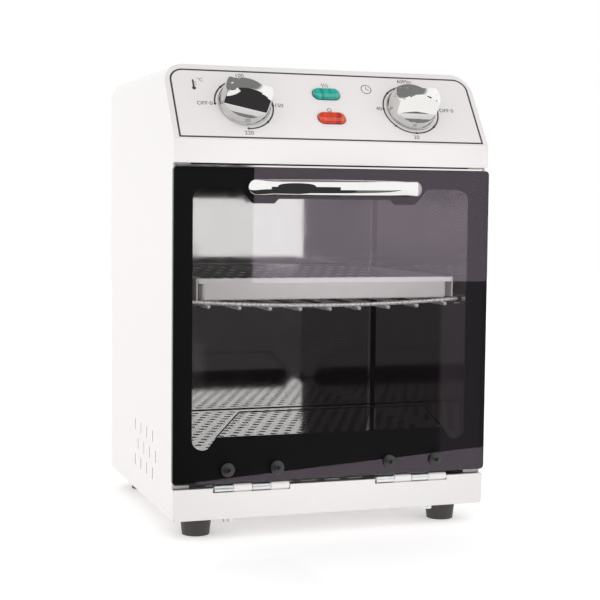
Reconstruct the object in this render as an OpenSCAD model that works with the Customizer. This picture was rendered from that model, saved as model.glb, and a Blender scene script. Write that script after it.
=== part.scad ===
// Small benchtop dry-heat oven: white sheet-metal cabinet with a sloped control
// panel, a mirror-polished chamber with a rack and tray, and a bottom-hinged
// glass door. Millimetres, +X right, +Y to the back, +Z up, floor at Z = 0.

/* [Body] */
// Width of the sheet-metal body
body_w = 240; // [220:1:300]
// Depth of the body, front band to rear panel
body_d = 221; // [200:1:280]
// Height of the body without its feet
body_h = 324.4; // [315:1:400]
// Thickness of the painted sheet
sheet_t = 1.2; // [0.8:0.1:1.6]
// Outside bend radius of the cover's top edges
cover_bend_r = 15; // [6:1:22]
// Height of the front base panel
base_panel_h = 22.5; // [20:0.5:30]
// Corner radius at the lower ends of the base panel
base_corner_r = 3.5; // [1:0.5:8]
// Width of the flange that each side wall turns inwards at the front
front_flange_w = 13; // [11:0.5:13]
// Width of the flange that the cover turns inwards at the back
rear_flange_w = 12; // [8:1:13]

/* [Control panel] */
// Rise of the sloped control panel
slope_rise = 55.1; // [50:0.5:64]
// How far the slope's top edge is set back
slope_setback = 38.7; // [20:0.5:50]
// Height of the vertical band under the slope
band_h = 16.3; // [12:0.5:24]
// Depth of the fold under the band
band_return_d = 12; // [8:1:20]
// Half the distance between the two dials
dial_offset = 64.7; // [50:0.5:75]
// Height of the dials up the slope from the bend
dial_rise = 32; // [28:0.5:36]
// Height of the upper lamp up the slope from the bend
upper_lamp_rise = 43.9; // [40:0.1:52]
// Height of the lower lamp up the slope from the bend
lower_lamp_rise = 21.7; // [14:0.1:26]
// Length of a lamp lens
lamp_l = 21.4; // [16:0.2:26]
// Width of a lamp lens
lamp_w = 10; // [8:0.2:12]
// How far a lamp lens stands out
lamp_rise = 3.2; // [1.5:0.1:4]

/* [Dial knobs] */
// Diameter at the foot of a knob
knob_d = 38.6; // [30:0.2:42]
// Diameter at the crest of a knob
knob_top_d = 33; // [24:0.5:36]
// Height of a knob
knob_h = 21.5; // [18:0.5:26]
// Width of the grip bar between the two scoops
grip_w = 7; // [5:0.5:10]
// Radius of the scoop on each side of the grip
scoop_r = 13; // [11:0.5:15]
// Height of the skirt that is left under the scoops
skirt_h = 8.5; // [7:0.5:10]
// Radius of the domed crest
crest_r = 36; // [28:1:60]
// Gap between a knob and the panel
knob_gap = 0.8; // [0.5:0.1:1.5]
// Diameter of the control shafts
shaft_d = 6; // [5:0.5:6.5]
// Where the temperature knob points at rest, degrees from +X
temperature_angle = 165; // [0:5:355]
// Where the timer knob points at rest, degrees from +X
timer_angle = 0; // [0:5:355]

/* [Door] */
// How far the glass overlaps the body on each side
door_overlap = 1; // [0:0.5:2]
// Thickness of the door glass
glass_t = 4; // [3:0.5:5]
// Distance from the front plane to the back of the glass
glass_back = 3; // [2.5:0.5:5]
// Corner radius of the glass
glass_r = 3; // [1:0.5:8]
// Gap between the glass and the base panel
door_gap_low = 3.5; // [3:0.5:5]
// Gap between the glass and the band above it
door_gap_top = 2.3; // [1.5:0.1:4]
// Length of the handle
handle_l = 133; // [110:1:160]
// Height of the handle bar
handle_bar_h = 11.5; // [10:0.5:13]
// Thickness of the handle bar
handle_bar_t = 9; // [8:0.5:11]
// How far the handle stands out of the glass
handle_reach = 23; // [20:0.5:32]
// Distance from the top of the glass to the handle's middle
handle_drop = 14.2; // [13:0.1:24]

/* [Hinges] */
// Half the distance between the two hinges
hinge_offset = 62; // [50:1:75]
// Length of a hinge
hinge_l = 56; // [44:1:64]
// Number of knuckles in a hinge
knuckles = 4; // [4:2:6]
// Diameter of a knuckle
knuckle_d = 5.5; // [5:0.1:6]
// Diameter of a hinge pin
pin_d = 2.5; // [2:0.1:2.8]
// Thickness of the hinge leaves
leaf_t = 1.2; // [1:0.1:1.6]
// Distance between the two door screws of a hinge
door_screw_pitch = 37; // [28:1:42]
// Height of the door screws above the lower edge of the glass
door_screw_rise = 9.5; // [8:0.5:10]
// Head diameter of the door screws
door_screw_head = 10; // [7:0.5:11]

/* [Chamber] */
// Space between the body's side and the chamber
chamber_side_space = 14; // [14:1:25]
// Space between the chamber's back wall and the back of the body
chamber_back_space = 29; // [29:1:50]
// Height of the chamber floor above the base panel
sill_h = 26.5; // [26:0.5:40]
// Distance from the band's lower edge down to the chamber roof
roof_drop = 13.5; // [13:0.5:24]
// Depth of the heater well under the floor plate
well_h = 21; // [18:0.5:24]
// Thickness of the stainless liner
liner_t = 0.8; // [0.6:0.1:1]
// Thickness of the door seal
seal_t = 1.6; // [1:0.1:1.8]
// Width of the door seal
seal_w = 5; // [3:0.5:6]
// Thickness of the insulation
insulation_t = 10; // [6:0.5:10]
// Diameter of the holes in the floor plate and the tray insert
hole_d = 5.6; // [4:0.1:7]
// Distance between the holes of a row
hole_pitch = 10.5; // [9:0.1:14]
// Distance between the rows of holes
hole_row_pitch = 11.4; // [9:0.1:16]

/* [Rack and tray] */
// Height of the rack ledges above the chamber floor
ledge_h = 101; // [60:1:120]
// Width of a rack ledge
ledge_w = 7.5; // [6:0.5:12]
// Diameter of the rack wires
wire_d = 3; // [2.5:0.1:4]
// Number of long wires in the rack
rack_wires = 9; // [5:2:11]
// Distance between the long wires
rack_wire_pitch = 23; // [15:0.5:23]
// Sag of the rack's cross wires
rack_sag = 3.5; // [2:0.1:5]
// Front edge of the rack and tray behind the front plane
rack_front = 10; // [9.5:0.5:16]
// Space between the rack and the chamber's back wall
rack_back_space = 14; // [12:1:40]
// Space between the tray's rim and each side of the chamber
tray_side_space = 6.5; // [4:0.5:14]
// Space between the tray's rim and the chamber's back wall
tray_back_space = 16; // [14:1:40]
// Height of the tray
tray_h = 13.7; // [10:0.1:20]
// Thickness of the tray sheet
tray_t = 0.9; // [0.6:0.1:1.2]
// Width of the tray's rim
tray_rim_w = 4; // [2:0.5:6]
// Slope of the perforated insert that leans on the tray's back rim
insert_slope = 7.3; // [4:0.1:9]
// Height of the insert's folded edges
insert_fold = 4; // [3:0.5:6]

/* [Feet] */
// Height of the feet
foot_h = 15; // [10:1:25]
// Diameter of a foot at the top
foot_top_d = 23.5; // [18:0.5:28]
// Diameter of a foot at the floor
foot_low_d = 20; // [14:0.5:24]
// Distance of a foot's centre from the side of the body
foot_inset_x = 23; // [18:1:40]
// Distance of a foot's centre from the front and back
foot_inset_y = 25; // [23:1:40]

/* [Hidden] */
$fn = 64;
cut = 1;            // how far a cutting shape runs past a face
fit = 0.2;          // gap between sheets that slide into each other
slack = 0.3;        // gap between pieces on different bodies
running = 0.05;     // radial clearance of a running shaft

white_paint = [0.94, 0.93, 0.92];
stainless = [0.78, 0.78, 0.79];
chrome_plate = [0.85, 0.86, 0.88];
zinc = [0.72, 0.73, 0.74];

// heights above the floor
body_z = foot_h;
top_z = body_z + body_h;
bend_z = top_z - slope_rise;
band_z = bend_z - band_h;
base_top_z = body_z + base_panel_h;
floor_z = base_top_z + sill_h;
roof_z = band_z - roof_drop;
well_z = floor_z - well_h;
ledge_z = floor_z + ledge_h;

// the sloped panel
tilt = atan2(slope_setback, slope_rise);
slope_l = norm([slope_setback, slope_rise]);
inner_bend_dz = -sheet_t * tan(tilt / 2);
slope_cut_y = sheet_t / cos(tilt);
inner_w = body_w - 2 * sheet_t;
inner_r = cover_bend_r - sheet_t;

// the door
glass_front = glass_back - glass_t;
glass_w = body_w + 2 * door_overlap;
glass_z = base_top_z + door_gap_low;
glass_top_z = band_z - door_gap_top;
handle_z = glass_top_z - handle_drop;
handle_y = glass_front - handle_reach;
handle_r = (pow(handle_l / 2, 2) + pow(handle_reach, 2)) / (2 * handle_reach);
handle_centre_y = handle_y + handle_r;
handle_inner_r = handle_r - handle_bar_t;
seat_inner_x = sqrt(pow(handle_inner_r, 2) - pow(handle_centre_y - glass_front, 2));
handle_screw_x = (seat_inner_x + handle_l / 2) / 2;
handle_edge_r = 4;
handle_screw_d = 4;
handle_screw_depth = 3.6;
handle_screw_head_d = 7;
handle_screw_head_h = seal_t;

// the hinges
pin_y = glass_back + leaf_t - knuckle_d / 2;
pin_z = base_top_z - 0.3;
knuckle_l = hinge_l / knuckles;
leaf_top_z = glass_z + door_screw_rise + 5.2;
door_screw_z = glass_z + door_screw_rise;
door_screw_d = 4;
hinge_screw_x = hinge_offset + 16;
hinge_screw_y = 6.5;
hinge_foot_d = 13;

// the chamber
frame_y = glass_back + seal_t + slack;
flange_y = frame_y + liner_t;
chamber_w = body_w - 2 * chamber_side_space;
chamber_back = body_d - chamber_back_space;
liner_w = chamber_w + 2 * liner_t;
liner_flange_w = inner_w - 2 * fit - 1;
liner_flange_low_z = base_top_z + 4.5;
liner_flange_top_z = band_z - 1;
liner_corner_r = 4;
seal_inset = 1;
catch_w = 30;
catch_h = 4.2;
catch_z = glass_top_z - catch_h - 0.4;
catch_depth = 12;
catch_plate_t = 0.8;
insulation_front = frame_y + catch_depth + 1;
plate_t = 1;
plate_edge = 4;

// the rack and tray
side_wire_x = chamber_w / 2 - 4.25;
wire_weld = 0.5;
side_wire_z = ledge_z + slack + wire_d / 2;
cross_wire_z = side_wire_z + wire_d - wire_weld;
sag_r = pow(side_wire_x, 2) / (2 * rack_sag) + rack_sag / 2;
cross_wire_inset = 6;
rack_d = chamber_back - rack_back_space - rack_front;
tray_w = chamber_w - 2 * tray_side_space;
tray_d = chamber_back - tray_back_space - rack_front;
tray_basin_w = tray_w - 2 * tray_rim_w;
tray_z = cross_wire_z + wire_d / 2 - wire_sag(tray_basin_w / 2) + slack;
tray_top_z = tray_z + tray_h;
tray_corner_r = 4;
insert_gap = 2;
insert_w = tray_basin_w - 2 * tray_t - 2 * insert_gap;
insert_back_space = 5;
insert_back_y = chamber_back - insert_back_space;
insert_rim_y = rack_front + tray_d - tray_rim_w - tray_t;
insert_low_z = tray_z + tray_t + slack;
insert_rim_z = tray_top_z + slack;
insert_front_y = insert_rim_y - (insert_rim_z - insert_low_z) / tan(insert_slope);
insert_l = (insert_back_y - insert_front_y) / cos(insert_slope);

// the controls
panel_hole_d = shaft_d + 2;
plate_w = 34;
control_plate_t = 1.5;
thermostat_w = 36;
thermostat_h = 32;
thermostat_depth = 25;
timer_d = 42;
timer_depth = 26;
bell_d = 36;
bell_depth = 7;
shaft_in = 16;
shaft_out = 13;
control_screw_x = 11.5;
control_screw_d = 3;
lens_flange = 0.5;
housing_depth = 15;
shelf_t = 1;
shelf_z = band_z + sheet_t;
bulb_d = 5;
bulb_l = 70;
bulb_y = 70;
capillary_d = 1.6;
capillary_x = -dial_offset;
capillary_y = 36;

// the heater
heater_d = 6.5;
heater_x = chamber_w / 2 - 51;
heater_bend_r = 25;
heater_front_y = 45;
heater_z = well_z + well_h / 2 - 1;
heater_tail = 15;
bushing_d = 12;
bushing_l = 8;
cutout_d = 15;
cutout_x = chamber_w / 2 - 36;
cutout_z = floor_z + 100;

// the back
rear_y = body_d - sheet_t;
gland_x = body_w / 2 - 40;
gland_z = body_z + 32;
gland_d = 14;
gland_bore_d = 7.6;
gland_flange_d = 19;
gland_flange_t = 3;
rear_screw_d = 3.5;
rear_screw_head_d = 7;
rear_screw_head_t = 1.8;
rear_screw_z = [body_z + 45, (body_z + top_z) / 2, top_z - 45];
rear_vent_rows = 3;
rear_vent_columns = 9;
rear_vent_pitch = 18;

// the side vents
vent_w = 2.2;
vent_h = 9;
vent_pitch = 20;
vent_rows = 3;
vent_row_pitch = 14;
vent_front_y = 65;
vent_columns = 4;
vent_top_z = body_z + 51;

// the feet
foot_x = body_w / 2 - foot_inset_x;
foot_ys = [foot_inset_y, body_d - foot_inset_y];
foot_screw_d = 4;
foot_socket_d = 9;
foot_floor_t = 5;
pan_flange_h = 12;
pan_w = inner_w - 2 * fit;

// the whole part stands with its bounding box centred on Y = 0
front_most_y = handle_y;
rear_most_y = body_d + gland_flange_t;
centre_y = (front_most_y + rear_most_y) / 2;

function wire_sag(x) = rack_sag - (sag_r - sqrt(sag_r * sag_r - x * x));

// ---- shared shapes ----

// extrudes a shape drawn in X and Z from y over a length to the back
module along_y(y, length)
    translate([0, y + length, 0]) rotate([90, 0, 0]) linear_extrude(length) children();

// extrudes a shape drawn in Y and Z from x over a length to the right
module along_x(x, length)
    translate([x, 0, 0]) rotate([90, 0, 90]) linear_extrude(length) children();

// puts things on the sloped panel: x across, y up the slope, z out of it
module on_panel(u = 0, v = 0, out = 0)
    translate([0, 0, bend_z]) rotate([90 - tilt, 0, 0]) translate([u, v, out]) children();

module rounded_rectangle(w, h, r) {
    square([w - 2 * r, h], center = true);
    square([w, h - 2 * r], center = true);
    for (sx = [-1, 1], sy = [-1, 1])
        translate([sx * (w / 2 - r), sy * (h / 2 - r)]) circle(r);
}

// a flat shape with two round ends, its length along x
module slot_shape(length, width) {
    square([length - width, width], center = true);
    for (s = [-1, 1]) translate([s * (length - width) / 2, 0]) circle(d = width);
}

// the body's outline from the front, only the upper corners rounded
module arch(w, h, r) {
    translate([-w / 2, 0]) square([w, h - r]);
    translate([-w / 2 + r, 0]) square([w - 2 * r, h]);
    for (s = [-1, 1]) translate([s * (w / 2 - r), h - r]) circle(r);
}

// staggered rows of round holes that fill a w by d plate
module hole_field(w, d) {
    reach_x = w / 2 - plate_edge - hole_d / 2;
    rows = floor((d / 2 - plate_edge - hole_d / 2) / hole_row_pitch);
    columns = floor(reach_x / hole_pitch);
    for (row = [-rows : rows], column = [-columns - 1 : columns]) {
        x = (column + (row % 2 == 0 ? 0 : 0.5)) * hole_pitch;
        if (abs(x) <= reach_x) translate([x, row * hole_row_pitch]) circle(d = hole_d, $fn = 24);
    }
}

// the same thing on the right and, mirrored, on the left
module both_sides() {
    children();
    mirror([1, 0, 0]) children();
}

module pan_head(d, height, shank_d, shank_l) {
    cylinder(d = d, h = height);
    translate([0, 0, height]) cylinder(d = shank_d, h = shank_l);
}

// ---- body ----

module outer_cover() {
    front_flange_x = body_w / 2 - front_flange_w;
    color(white_paint) {
        difference() {
            intersection() {
                translate([0, 0, body_z]) difference() {
                    along_y(0, body_d) arch(body_w, body_h, cover_bend_r);
                    along_y(-cut, body_d + 2 * cut) translate([0, -cut])
                        arch(inner_w, body_h - sheet_t + cut, inner_r);
                }
                along_x(-body_w / 2, body_w) polygon([
                    [sheet_t, body_z], [sheet_t, base_top_z],
                    [frame_y, base_top_z], [frame_y, band_z],
                    [sheet_t, band_z], [sheet_t, bend_z + inner_bend_dz],
                    [slope_setback + slope_cut_y, top_z],
                    [body_d, top_z], [body_d, body_z]]);
            }
            side_vents();
        }
        both_sides() translate([front_flange_x, flange_y, base_top_z])
            cube([front_flange_w - sheet_t / 2, sheet_t, band_z - base_top_z]);
        rear_flange();
    }
}

module side_vents()
    for (row = [0 : vent_rows - 1], column = [0 : vent_columns - 1]) {
        shift = row % 2 == 0 ? 0 : vent_pitch / 2;
        along_x(-body_w / 2 - cut, body_w + 2 * cut)
            translate([vent_front_y + column * vent_pitch - shift, vent_top_z - row * vent_row_pitch])
            rotate(90) slot_shape(vent_h, vent_w);
    }

module rear_flange() {
    flange_r = max(1, inner_r - rear_flange_w);
    sunk = sheet_t / 2;
    low_z = body_z + sheet_t + fit;
    height = top_z - sheet_t - low_z;
    translate([0, 0, low_z]) difference() {
        along_y(rear_y - sheet_t, sheet_t) arch(inner_w + 2 * sunk, height + sunk, inner_r + sunk);
        along_y(rear_y - sheet_t - cut, sheet_t + 2 * cut) translate([0, -cut])
            arch(inner_w - 2 * rear_flange_w, height - rear_flange_w + cut, flange_r);
        rear_screw_places(low_z) circle(d = rear_screw_d);
    }
}

// the six rear screws, drawn in X and Z through the rear sheets
module rear_screw_places(base = 0)
    for (s = [-1, 1], z = rear_screw_z)
        translate([s * (inner_w - rear_flange_w) / 2, 0, z - base])
            along_y(rear_y - 2 * sheet_t, 3 * sheet_t) children();

module control_fascia() {
    color(white_paint) difference() {
        union() {
            intersection() {
                translate([0, 0, body_z]) along_y(0, body_d) arch(body_w, body_h, cover_bend_r);
                along_x(-body_w / 2, body_w) polygon([
                    [0, band_z], [0, bend_z], [slope_setback, top_z],
                    [slope_setback + slope_cut_y, top_z],
                    [sheet_t, bend_z + inner_bend_dz], [sheet_t, band_z]]);
            }
            translate([-inner_w / 2 + fit, 0, band_z]) cube([inner_w - 2 * fit, band_return_d, sheet_t]);
            panel_side_lips();
        }
        for (s = [-1, 1]) on_panel(s * dial_offset, dial_rise, -sheet_t - cut) {
            cylinder(d = panel_hole_d, h = sheet_t + 2 * cut);
            for (k = [-1, 1]) translate([k * control_screw_x, 0, 0])
                cylinder(d = control_screw_d, h = sheet_t + 2 * cut);
        }
        for (v = [upper_lamp_rise, lower_lamp_rise])
            on_panel(0, v, -sheet_t - cut) linear_extrude(sheet_t + 2 * cut)
                slot_shape(lamp_l - 2 * lens_flange, lamp_w - 2 * lens_flange);
    }
}

// lips folded back from the slope's sides, just inside the cover
module panel_side_lips() {
    lip_d = 10;
    both_sides() on_panel(inner_w / 2 - fit - sheet_t, 6, -sheet_t - lip_d)
        cube([sheet_t, slope_l - cover_bend_r - 14, lip_d + sheet_t / 2]);
}

module base_pan() {
    pan_d = rear_y - sheet_t - fit;
    color(white_paint) difference() {
        union() {
            translate([0, 0, body_z]) along_y(0, sheet_t) base_front_outline();
            translate([-pan_w / 2, 0, body_z]) cube([pan_w, rear_y - fit, sheet_t]);
            translate([-inner_w / 2 + fit, 0, base_top_z - sheet_t])
                cube([inner_w - 2 * fit, glass_back, sheet_t]);
            both_sides() translate([pan_w / 2 - sheet_t, 0, body_z])
                cube([sheet_t, pan_d, pan_flange_h]);
            translate([-inner_w / 2 + rear_flange_w + 2, rear_y - fit - sheet_t, body_z])
                cube([inner_w - 2 * rear_flange_w - 4, sheet_t, pan_flange_h]);
        }
        for (s = [-1, 1]) translate([s * hinge_offset, 0, 0]) hinge_notch();
        foot_places(body_z - cut) cylinder(d = foot_screw_d, h = sheet_t + 2 * cut);
        both_sides() translate([hinge_screw_x, hinge_screw_y, body_z - cut])
            cylinder(d = 4, h = sheet_t + 2 * cut);
        translate([0, body_d / 2, body_z - cut]) linear_extrude(sheet_t + 2 * cut) pan_vents();
    }
}

module base_front_outline() {
    r = base_corner_r;
    translate([-body_w / 2, r]) square([body_w, base_panel_h - r]);
    translate([-body_w / 2 + r, 0]) square([body_w - 2 * r, base_panel_h]);
    for (s = [-1, 1]) translate([s * (body_w / 2 - r), r]) circle(r);
}

// room for the knuckles in the base panel's upper edge
module hinge_notch()
    translate([-hinge_l / 2 - slack - 0.5, -cut, pin_z - knuckle_d / 2 - slack])
        cube([hinge_l + 2 * slack + 1, glass_back + 2 * cut, knuckle_d]);

module pan_vents()
    for (row = [-2 : 2], column = [-3 : 3])
        translate([column * 20, row * 16]) slot_shape(14, 3.5);

module rear_panel() {
    panel_w = inner_w - 2 * fit;
    panel_h = body_h - sheet_t - fit;
    color(white_paint) difference() {
        translate([0, 0, body_z]) along_y(rear_y, sheet_t) arch(panel_w, panel_h, inner_r - fit);
        rear_screw_places() circle(d = rear_screw_d);
        translate([gland_x, 0, gland_z]) along_y(rear_y - cut, sheet_t + 2 * cut) circle(d = gland_d);
        translate([0, 0, top_z - 42]) along_y(rear_y - cut, sheet_t + 2 * cut) rear_vents();
    }
}

module rear_vents()
    for (row = [0 : rear_vent_rows - 1], column = [0 : rear_vent_columns - 1])
        translate([(column - (rear_vent_columns - 1) / 2) * rear_vent_pitch, -row * 22])
            rotate(90) slot_shape(16, 3);

module rear_panel_screws()
    color(zinc) for (s = [-1, 1], z = rear_screw_z)
        translate([s * (inner_w - rear_flange_w) / 2, body_d + rear_screw_head_t, z])
            rotate([90, 0, 0])
            pan_head(rear_screw_head_d, rear_screw_head_t, rear_screw_d, 2 * sheet_t + 3);

// the sheet that parts the controls from the hot chamber
module control_shelf() {
    shelf_w = inner_w - 2 * fit;
    shelf_front = sheet_t + slack;
    color(zinc) difference() {
        union() {
            translate([-shelf_w / 2, shelf_front, shelf_z])
                cube([shelf_w, rear_y - sheet_t - shelf_front - fit, shelf_t]);
            both_sides() translate([shelf_w / 2 - shelf_t, slope_setback + 10, shelf_z])
                cube([shelf_t, rear_y - slope_setback - 12 - sheet_t, 9]);
        }
        translate([capillary_x, capillary_y, shelf_z - cut]) cylinder(d = 4, h = shelf_t + 2 * cut);
    }
}

// ---- chamber ----

module chamber_liner() {
    color(stainless) difference() {
        union() {
            along_y(frame_y, liner_t) translate([-liner_flange_w / 2, liner_flange_low_z])
                square([liner_flange_w, liner_flange_top_z - liner_flange_low_z]);
            translate([0, 0, well_z - liner_t]) linear_extrude(roof_z - well_z + 2 * liner_t)
                liner_plan(liner_w, chamber_back + liner_t, frame_y, liner_corner_r + liner_t);
        }
        translate([0, 0, well_z]) linear_extrude(roof_z - well_z)
            liner_plan(chamber_w, chamber_back, flange_y, liner_corner_r);
        translate([-chamber_w / 2, frame_y - cut, floor_z])
            cube([chamber_w, liner_t + 2 * cut, roof_z - floor_z]);
        translate([-catch_w / 2, frame_y - cut, catch_z]) cube([catch_w, liner_t + 2 * cut, catch_h]);
        both_sides() translate([heater_x, 0, heater_z])
            along_y(chamber_back - cut, liner_t + 2 * cut) circle(d = heater_d);
    }
}

// the liner from above: square at the front, rounded at the back
module liner_plan(w, back, front, r) {
    translate([-w / 2, front]) square([w, back - r - front]);
    translate([-w / 2 + r, front]) square([w - 2 * r, back - front]);
    for (s = [-1, 1]) translate([s * (w / 2 - r), back - r]) circle(r);
}

// the perforated cover of the heater well, folded down at both sides
module floor_plate() {
    plate_w = chamber_w - 2 * fit;
    plate_d = chamber_back - flange_y - liner_corner_r - 1;
    color(stainless) translate([0, flange_y + slack + plate_d / 2, 0]) {
        translate([0, 0, floor_z - plate_t]) linear_extrude(plate_t) difference() {
            square([plate_w, plate_d], center = true);
            hole_field(plate_w, plate_d);
        }
        both_sides() translate([plate_w / 2 - plate_t, -plate_d / 2, well_z])
            cube([plate_t, plate_d, well_h]);
    }
}

module rack_ledges() {
    ledge_t = 1;
    ledge_l = chamber_back - flange_y - liner_corner_r - 8;
    color(stainless) both_sides() translate([chamber_w / 2, flange_y + 3, ledge_z]) {
        translate([-ledge_w, 0, -ledge_t]) cube([ledge_w, ledge_l, ledge_t]);
        translate([-ledge_t, 0, -10]) cube([ledge_t, ledge_l, 10]);
        translate([-ledge_w, ledge_l - ledge_t, -ledge_t]) cube([ledge_w, ledge_t, 8]);
    }
}

// mineral wool round the top, the sides and the back of the liner
module insulation_jacket() {
    side_x = liner_w / 2 + fit;
    low_z = well_z + 2;
    top = roof_z + liner_t + fit + insulation_t;
    back = chamber_back + liner_t + fit;
    color([0.93, 0.9, 0.82]) difference() {
        translate([-side_x - insulation_t, insulation_front, low_z])
            cube([2 * (side_x + insulation_t), back + insulation_t - insulation_front, top - low_z]);
        translate([-side_x, insulation_front - cut, low_z - cut])
            cube([2 * side_x, back - insulation_front + cut, roof_z + liner_t + fit - low_z + cut]);
        both_sides() translate([heater_x, 0, heater_z])
            along_y(back - cut, insulation_t + 2 * cut) circle(d = bushing_d + 2 * fit);
        translate([cutout_x, 0, cutout_z])
            along_y(back - cut, insulation_t + 2 * cut) circle(d = cutout_d + 2 * fit);
        bulb_channel();
    }
}

module bulb_channel() {
    channel_w = bulb_d + 2 * fit;
    translate([capillary_x - channel_w / 2, capillary_y - channel_w / 2, roof_z])
        cube([channel_w, bulb_y + bulb_l + 2 - capillary_y + channel_w / 2, liner_t + bulb_d + 3 * fit]);
    translate([capillary_x, capillary_y, roof_z]) cylinder(d = channel_w, h = insulation_t + 3);
}

module door_seal() {
    middle_z = (floor_z + roof_z) / 2;
    inner_h = roof_z - floor_z + 2 * seal_inset;
    inner_seal_w = chamber_w + 2 * seal_inset;
    color([0.12, 0.12, 0.12]) translate([0, 0, middle_z]) difference() {
        along_y(frame_y - seal_t, seal_t)
            rounded_rectangle(inner_seal_w + 2 * seal_w, inner_h + 2 * seal_w, seal_w + 1);
        along_y(frame_y - seal_t - cut, seal_t + 2 * cut)
            rounded_rectangle(inner_seal_w, inner_h, 1);
    }
}

// ---- door ----

module door_glass() {
    glass_h = glass_top_z - glass_z;
    color([0.08, 0.08, 0.09, 0.6]) difference() {
        translate([0, 0, glass_z + glass_h / 2])
            along_y(glass_front, glass_t) rounded_rectangle(glass_w, glass_h, glass_r);
        door_screw_places() along_y(glass_front - cut, glass_t + 2 * cut) circle(d = door_screw_d);
        both_sides() translate([handle_screw_x, 0, handle_z])
            along_y(glass_front - cut, glass_t + 2 * cut) circle(d = handle_screw_d);
    }
}

// a bowed bar with rounded edges whose ends are cut flush with the glass
module door_handle()
    color(chrome_plate) difference() {
        intersection() {
            translate([0, handle_centre_y, handle_z]) rotate([0, 0, -135])
                rotate_extrude(angle = 90, $fn = 240) translate([handle_inner_r + handle_bar_t / 2, 0])
                rounded_rectangle(handle_bar_t, handle_bar_h, handle_edge_r);
            translate([0, 0, handle_z]) along_y(handle_y - cut, handle_reach + cut)
                slot_shape(handle_l, handle_bar_h);
        }
        both_sides() translate([handle_screw_x, 0, handle_z])
            along_y(glass_front - handle_screw_depth, handle_screw_depth + cut)
            circle(d = handle_screw_d);
    }

module handle_screws()
    color(zinc) both_sides()
        translate([handle_screw_x, glass_back + handle_screw_head_h, handle_z]) rotate([90, 0, 0])
        pan_head(handle_screw_head_d, handle_screw_head_h, handle_screw_d,
                 glass_t + handle_screw_depth);

// the four places where the door is screwed to its hinges
module door_screw_places()
    for (s = [-1, 1], k = [-1, 1])
        translate([s * hinge_offset + k * door_screw_pitch / 2, 0, door_screw_z]) children();

module door_screws() {
    head_h = 2.8;
    key_d = 2.9;
    color([0.1, 0.1, 0.1]) door_screw_places() translate([0, glass_front - head_h, 0])
        rotate([-90, 0, 0]) difference() {
            union() {
                intersection() {
                    cylinder(d = door_screw_head, h = head_h);
                    translate([0, 0, door_screw_head * 0.85]) sphere(door_screw_head * 0.85);
                }
                translate([0, 0, head_h]) cylinder(d = door_screw_d, h = glass_t + leaf_t);
            }
            translate([0, 0, -cut]) cylinder(d = key_d, h = cut + 1.6, $fn = 6);
        }
}

// knuckles of one leaf: first = 0 for the door's, 1 for the base's
module knuckle_row(first, bore) {
    for (i = [first : 2 : knuckles - 1])
        translate([-hinge_l / 2 + i * knuckle_l + (i == 0 ? 0 : slack / 2), pin_y, pin_z])
            rotate([0, 90, 0]) difference() {
                cylinder(d = knuckle_d, h = knuckle_l - (i == 0 || i == knuckles - 1 ? slack / 2 : slack));
                translate([0, 0, -cut]) cylinder(d = bore, h = knuckle_l + 2 * cut);
            }
}

module hinge_door_leaves()
    color(zinc) for (s = [-1, 1]) translate([s * hinge_offset, 0, 0]) {
        knuckle_row(0, pin_d);
        difference() {
            translate([-hinge_l / 2, glass_back, pin_z]) cube([hinge_l, leaf_t, leaf_top_z - pin_z]);
            for (i = [1 : 2 : knuckles - 1])
                translate([-hinge_l / 2 + i * knuckle_l - slack / 2, glass_back - cut, pin_z - cut])
                    cube([knuckle_l + slack + (i == knuckles - 1 ? cut : 0), leaf_t + 2 * cut,
                          cut + knuckle_d / 2 + slack]);
            translate([-hinge_l / 2 - cut, pin_y, pin_z]) rotate([0, 90, 0])
                cylinder(d = pin_d, h = hinge_l + 2 * cut);
            for (k = [-1, 1]) translate([k * door_screw_pitch / 2, 0, door_screw_z])
                along_y(glass_back - cut, leaf_t + 2 * cut) circle(d = door_screw_d);
        }
    }

module hinge_base_leaves()
    color(white_paint) for (s = [-1, 1]) translate([s * hinge_offset, 0, 0]) {
        knuckle_row(1, pin_d + 2 * running);
        difference() {
            union() {
                base_leaf_neck();
                translate([-hinge_l / 2, sheet_t, body_z + sheet_t])
                    cube([hinge_l, leaf_t, pin_z - knuckle_d / 2 - slack - body_z - sheet_t]);
                translate([-hinge_l / 2, sheet_t, body_z + sheet_t])
                    cube([hinge_l, hinge_foot_d, leaf_t]);
            }
            translate([s * (hinge_screw_x - hinge_offset), hinge_screw_y, body_z])
                cylinder(d = 4, h = 2 * sheet_t + leaf_t);
            translate([-hinge_l / 2 - cut, pin_y, pin_z]) rotate([0, 90, 0])
                cylinder(d = pin_d + 2 * running, h = hinge_l + 2 * cut);
        }
    }

// joins the base leaf to its own knuckles only
module base_leaf_neck()
    for (i = [1 : 2 : knuckles - 1])
        translate([-hinge_l / 2 + i * knuckle_l + slack / 2, sheet_t, pin_z - knuckle_d / 2 - 2])
            cube([knuckle_l - (i == knuckles - 1 ? slack / 2 : slack), leaf_t, knuckle_d / 2 + 2]);

module hinge_pins()
    color([0.35, 0.35, 0.36]) for (s = [-1, 1])
        translate([s * hinge_offset - hinge_l / 2 - 0.3, pin_y, pin_z]) rotate([0, 90, 0])
        cylinder(d = pin_d, h = hinge_l + 0.6);

module hinge_base_screws()
    color(zinc) both_sides() translate([hinge_screw_x, hinge_screw_y, body_z - 3])
        pan_head(7, 3, 4, sheet_t + leaf_t + 4);

module catch_magnet()
    color([0.25, 0.25, 0.26]) translate([-catch_w / 2, frame_y - 0.6, catch_z])
        cube([catch_w, catch_depth, catch_h]);

module catch_plate()
    color(zinc) translate([-catch_w / 2 + 2, glass_back, catch_z + 0.4])
        cube([catch_w - 4, catch_plate_t, catch_h - 0.8]);

// ---- controls ----

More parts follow.
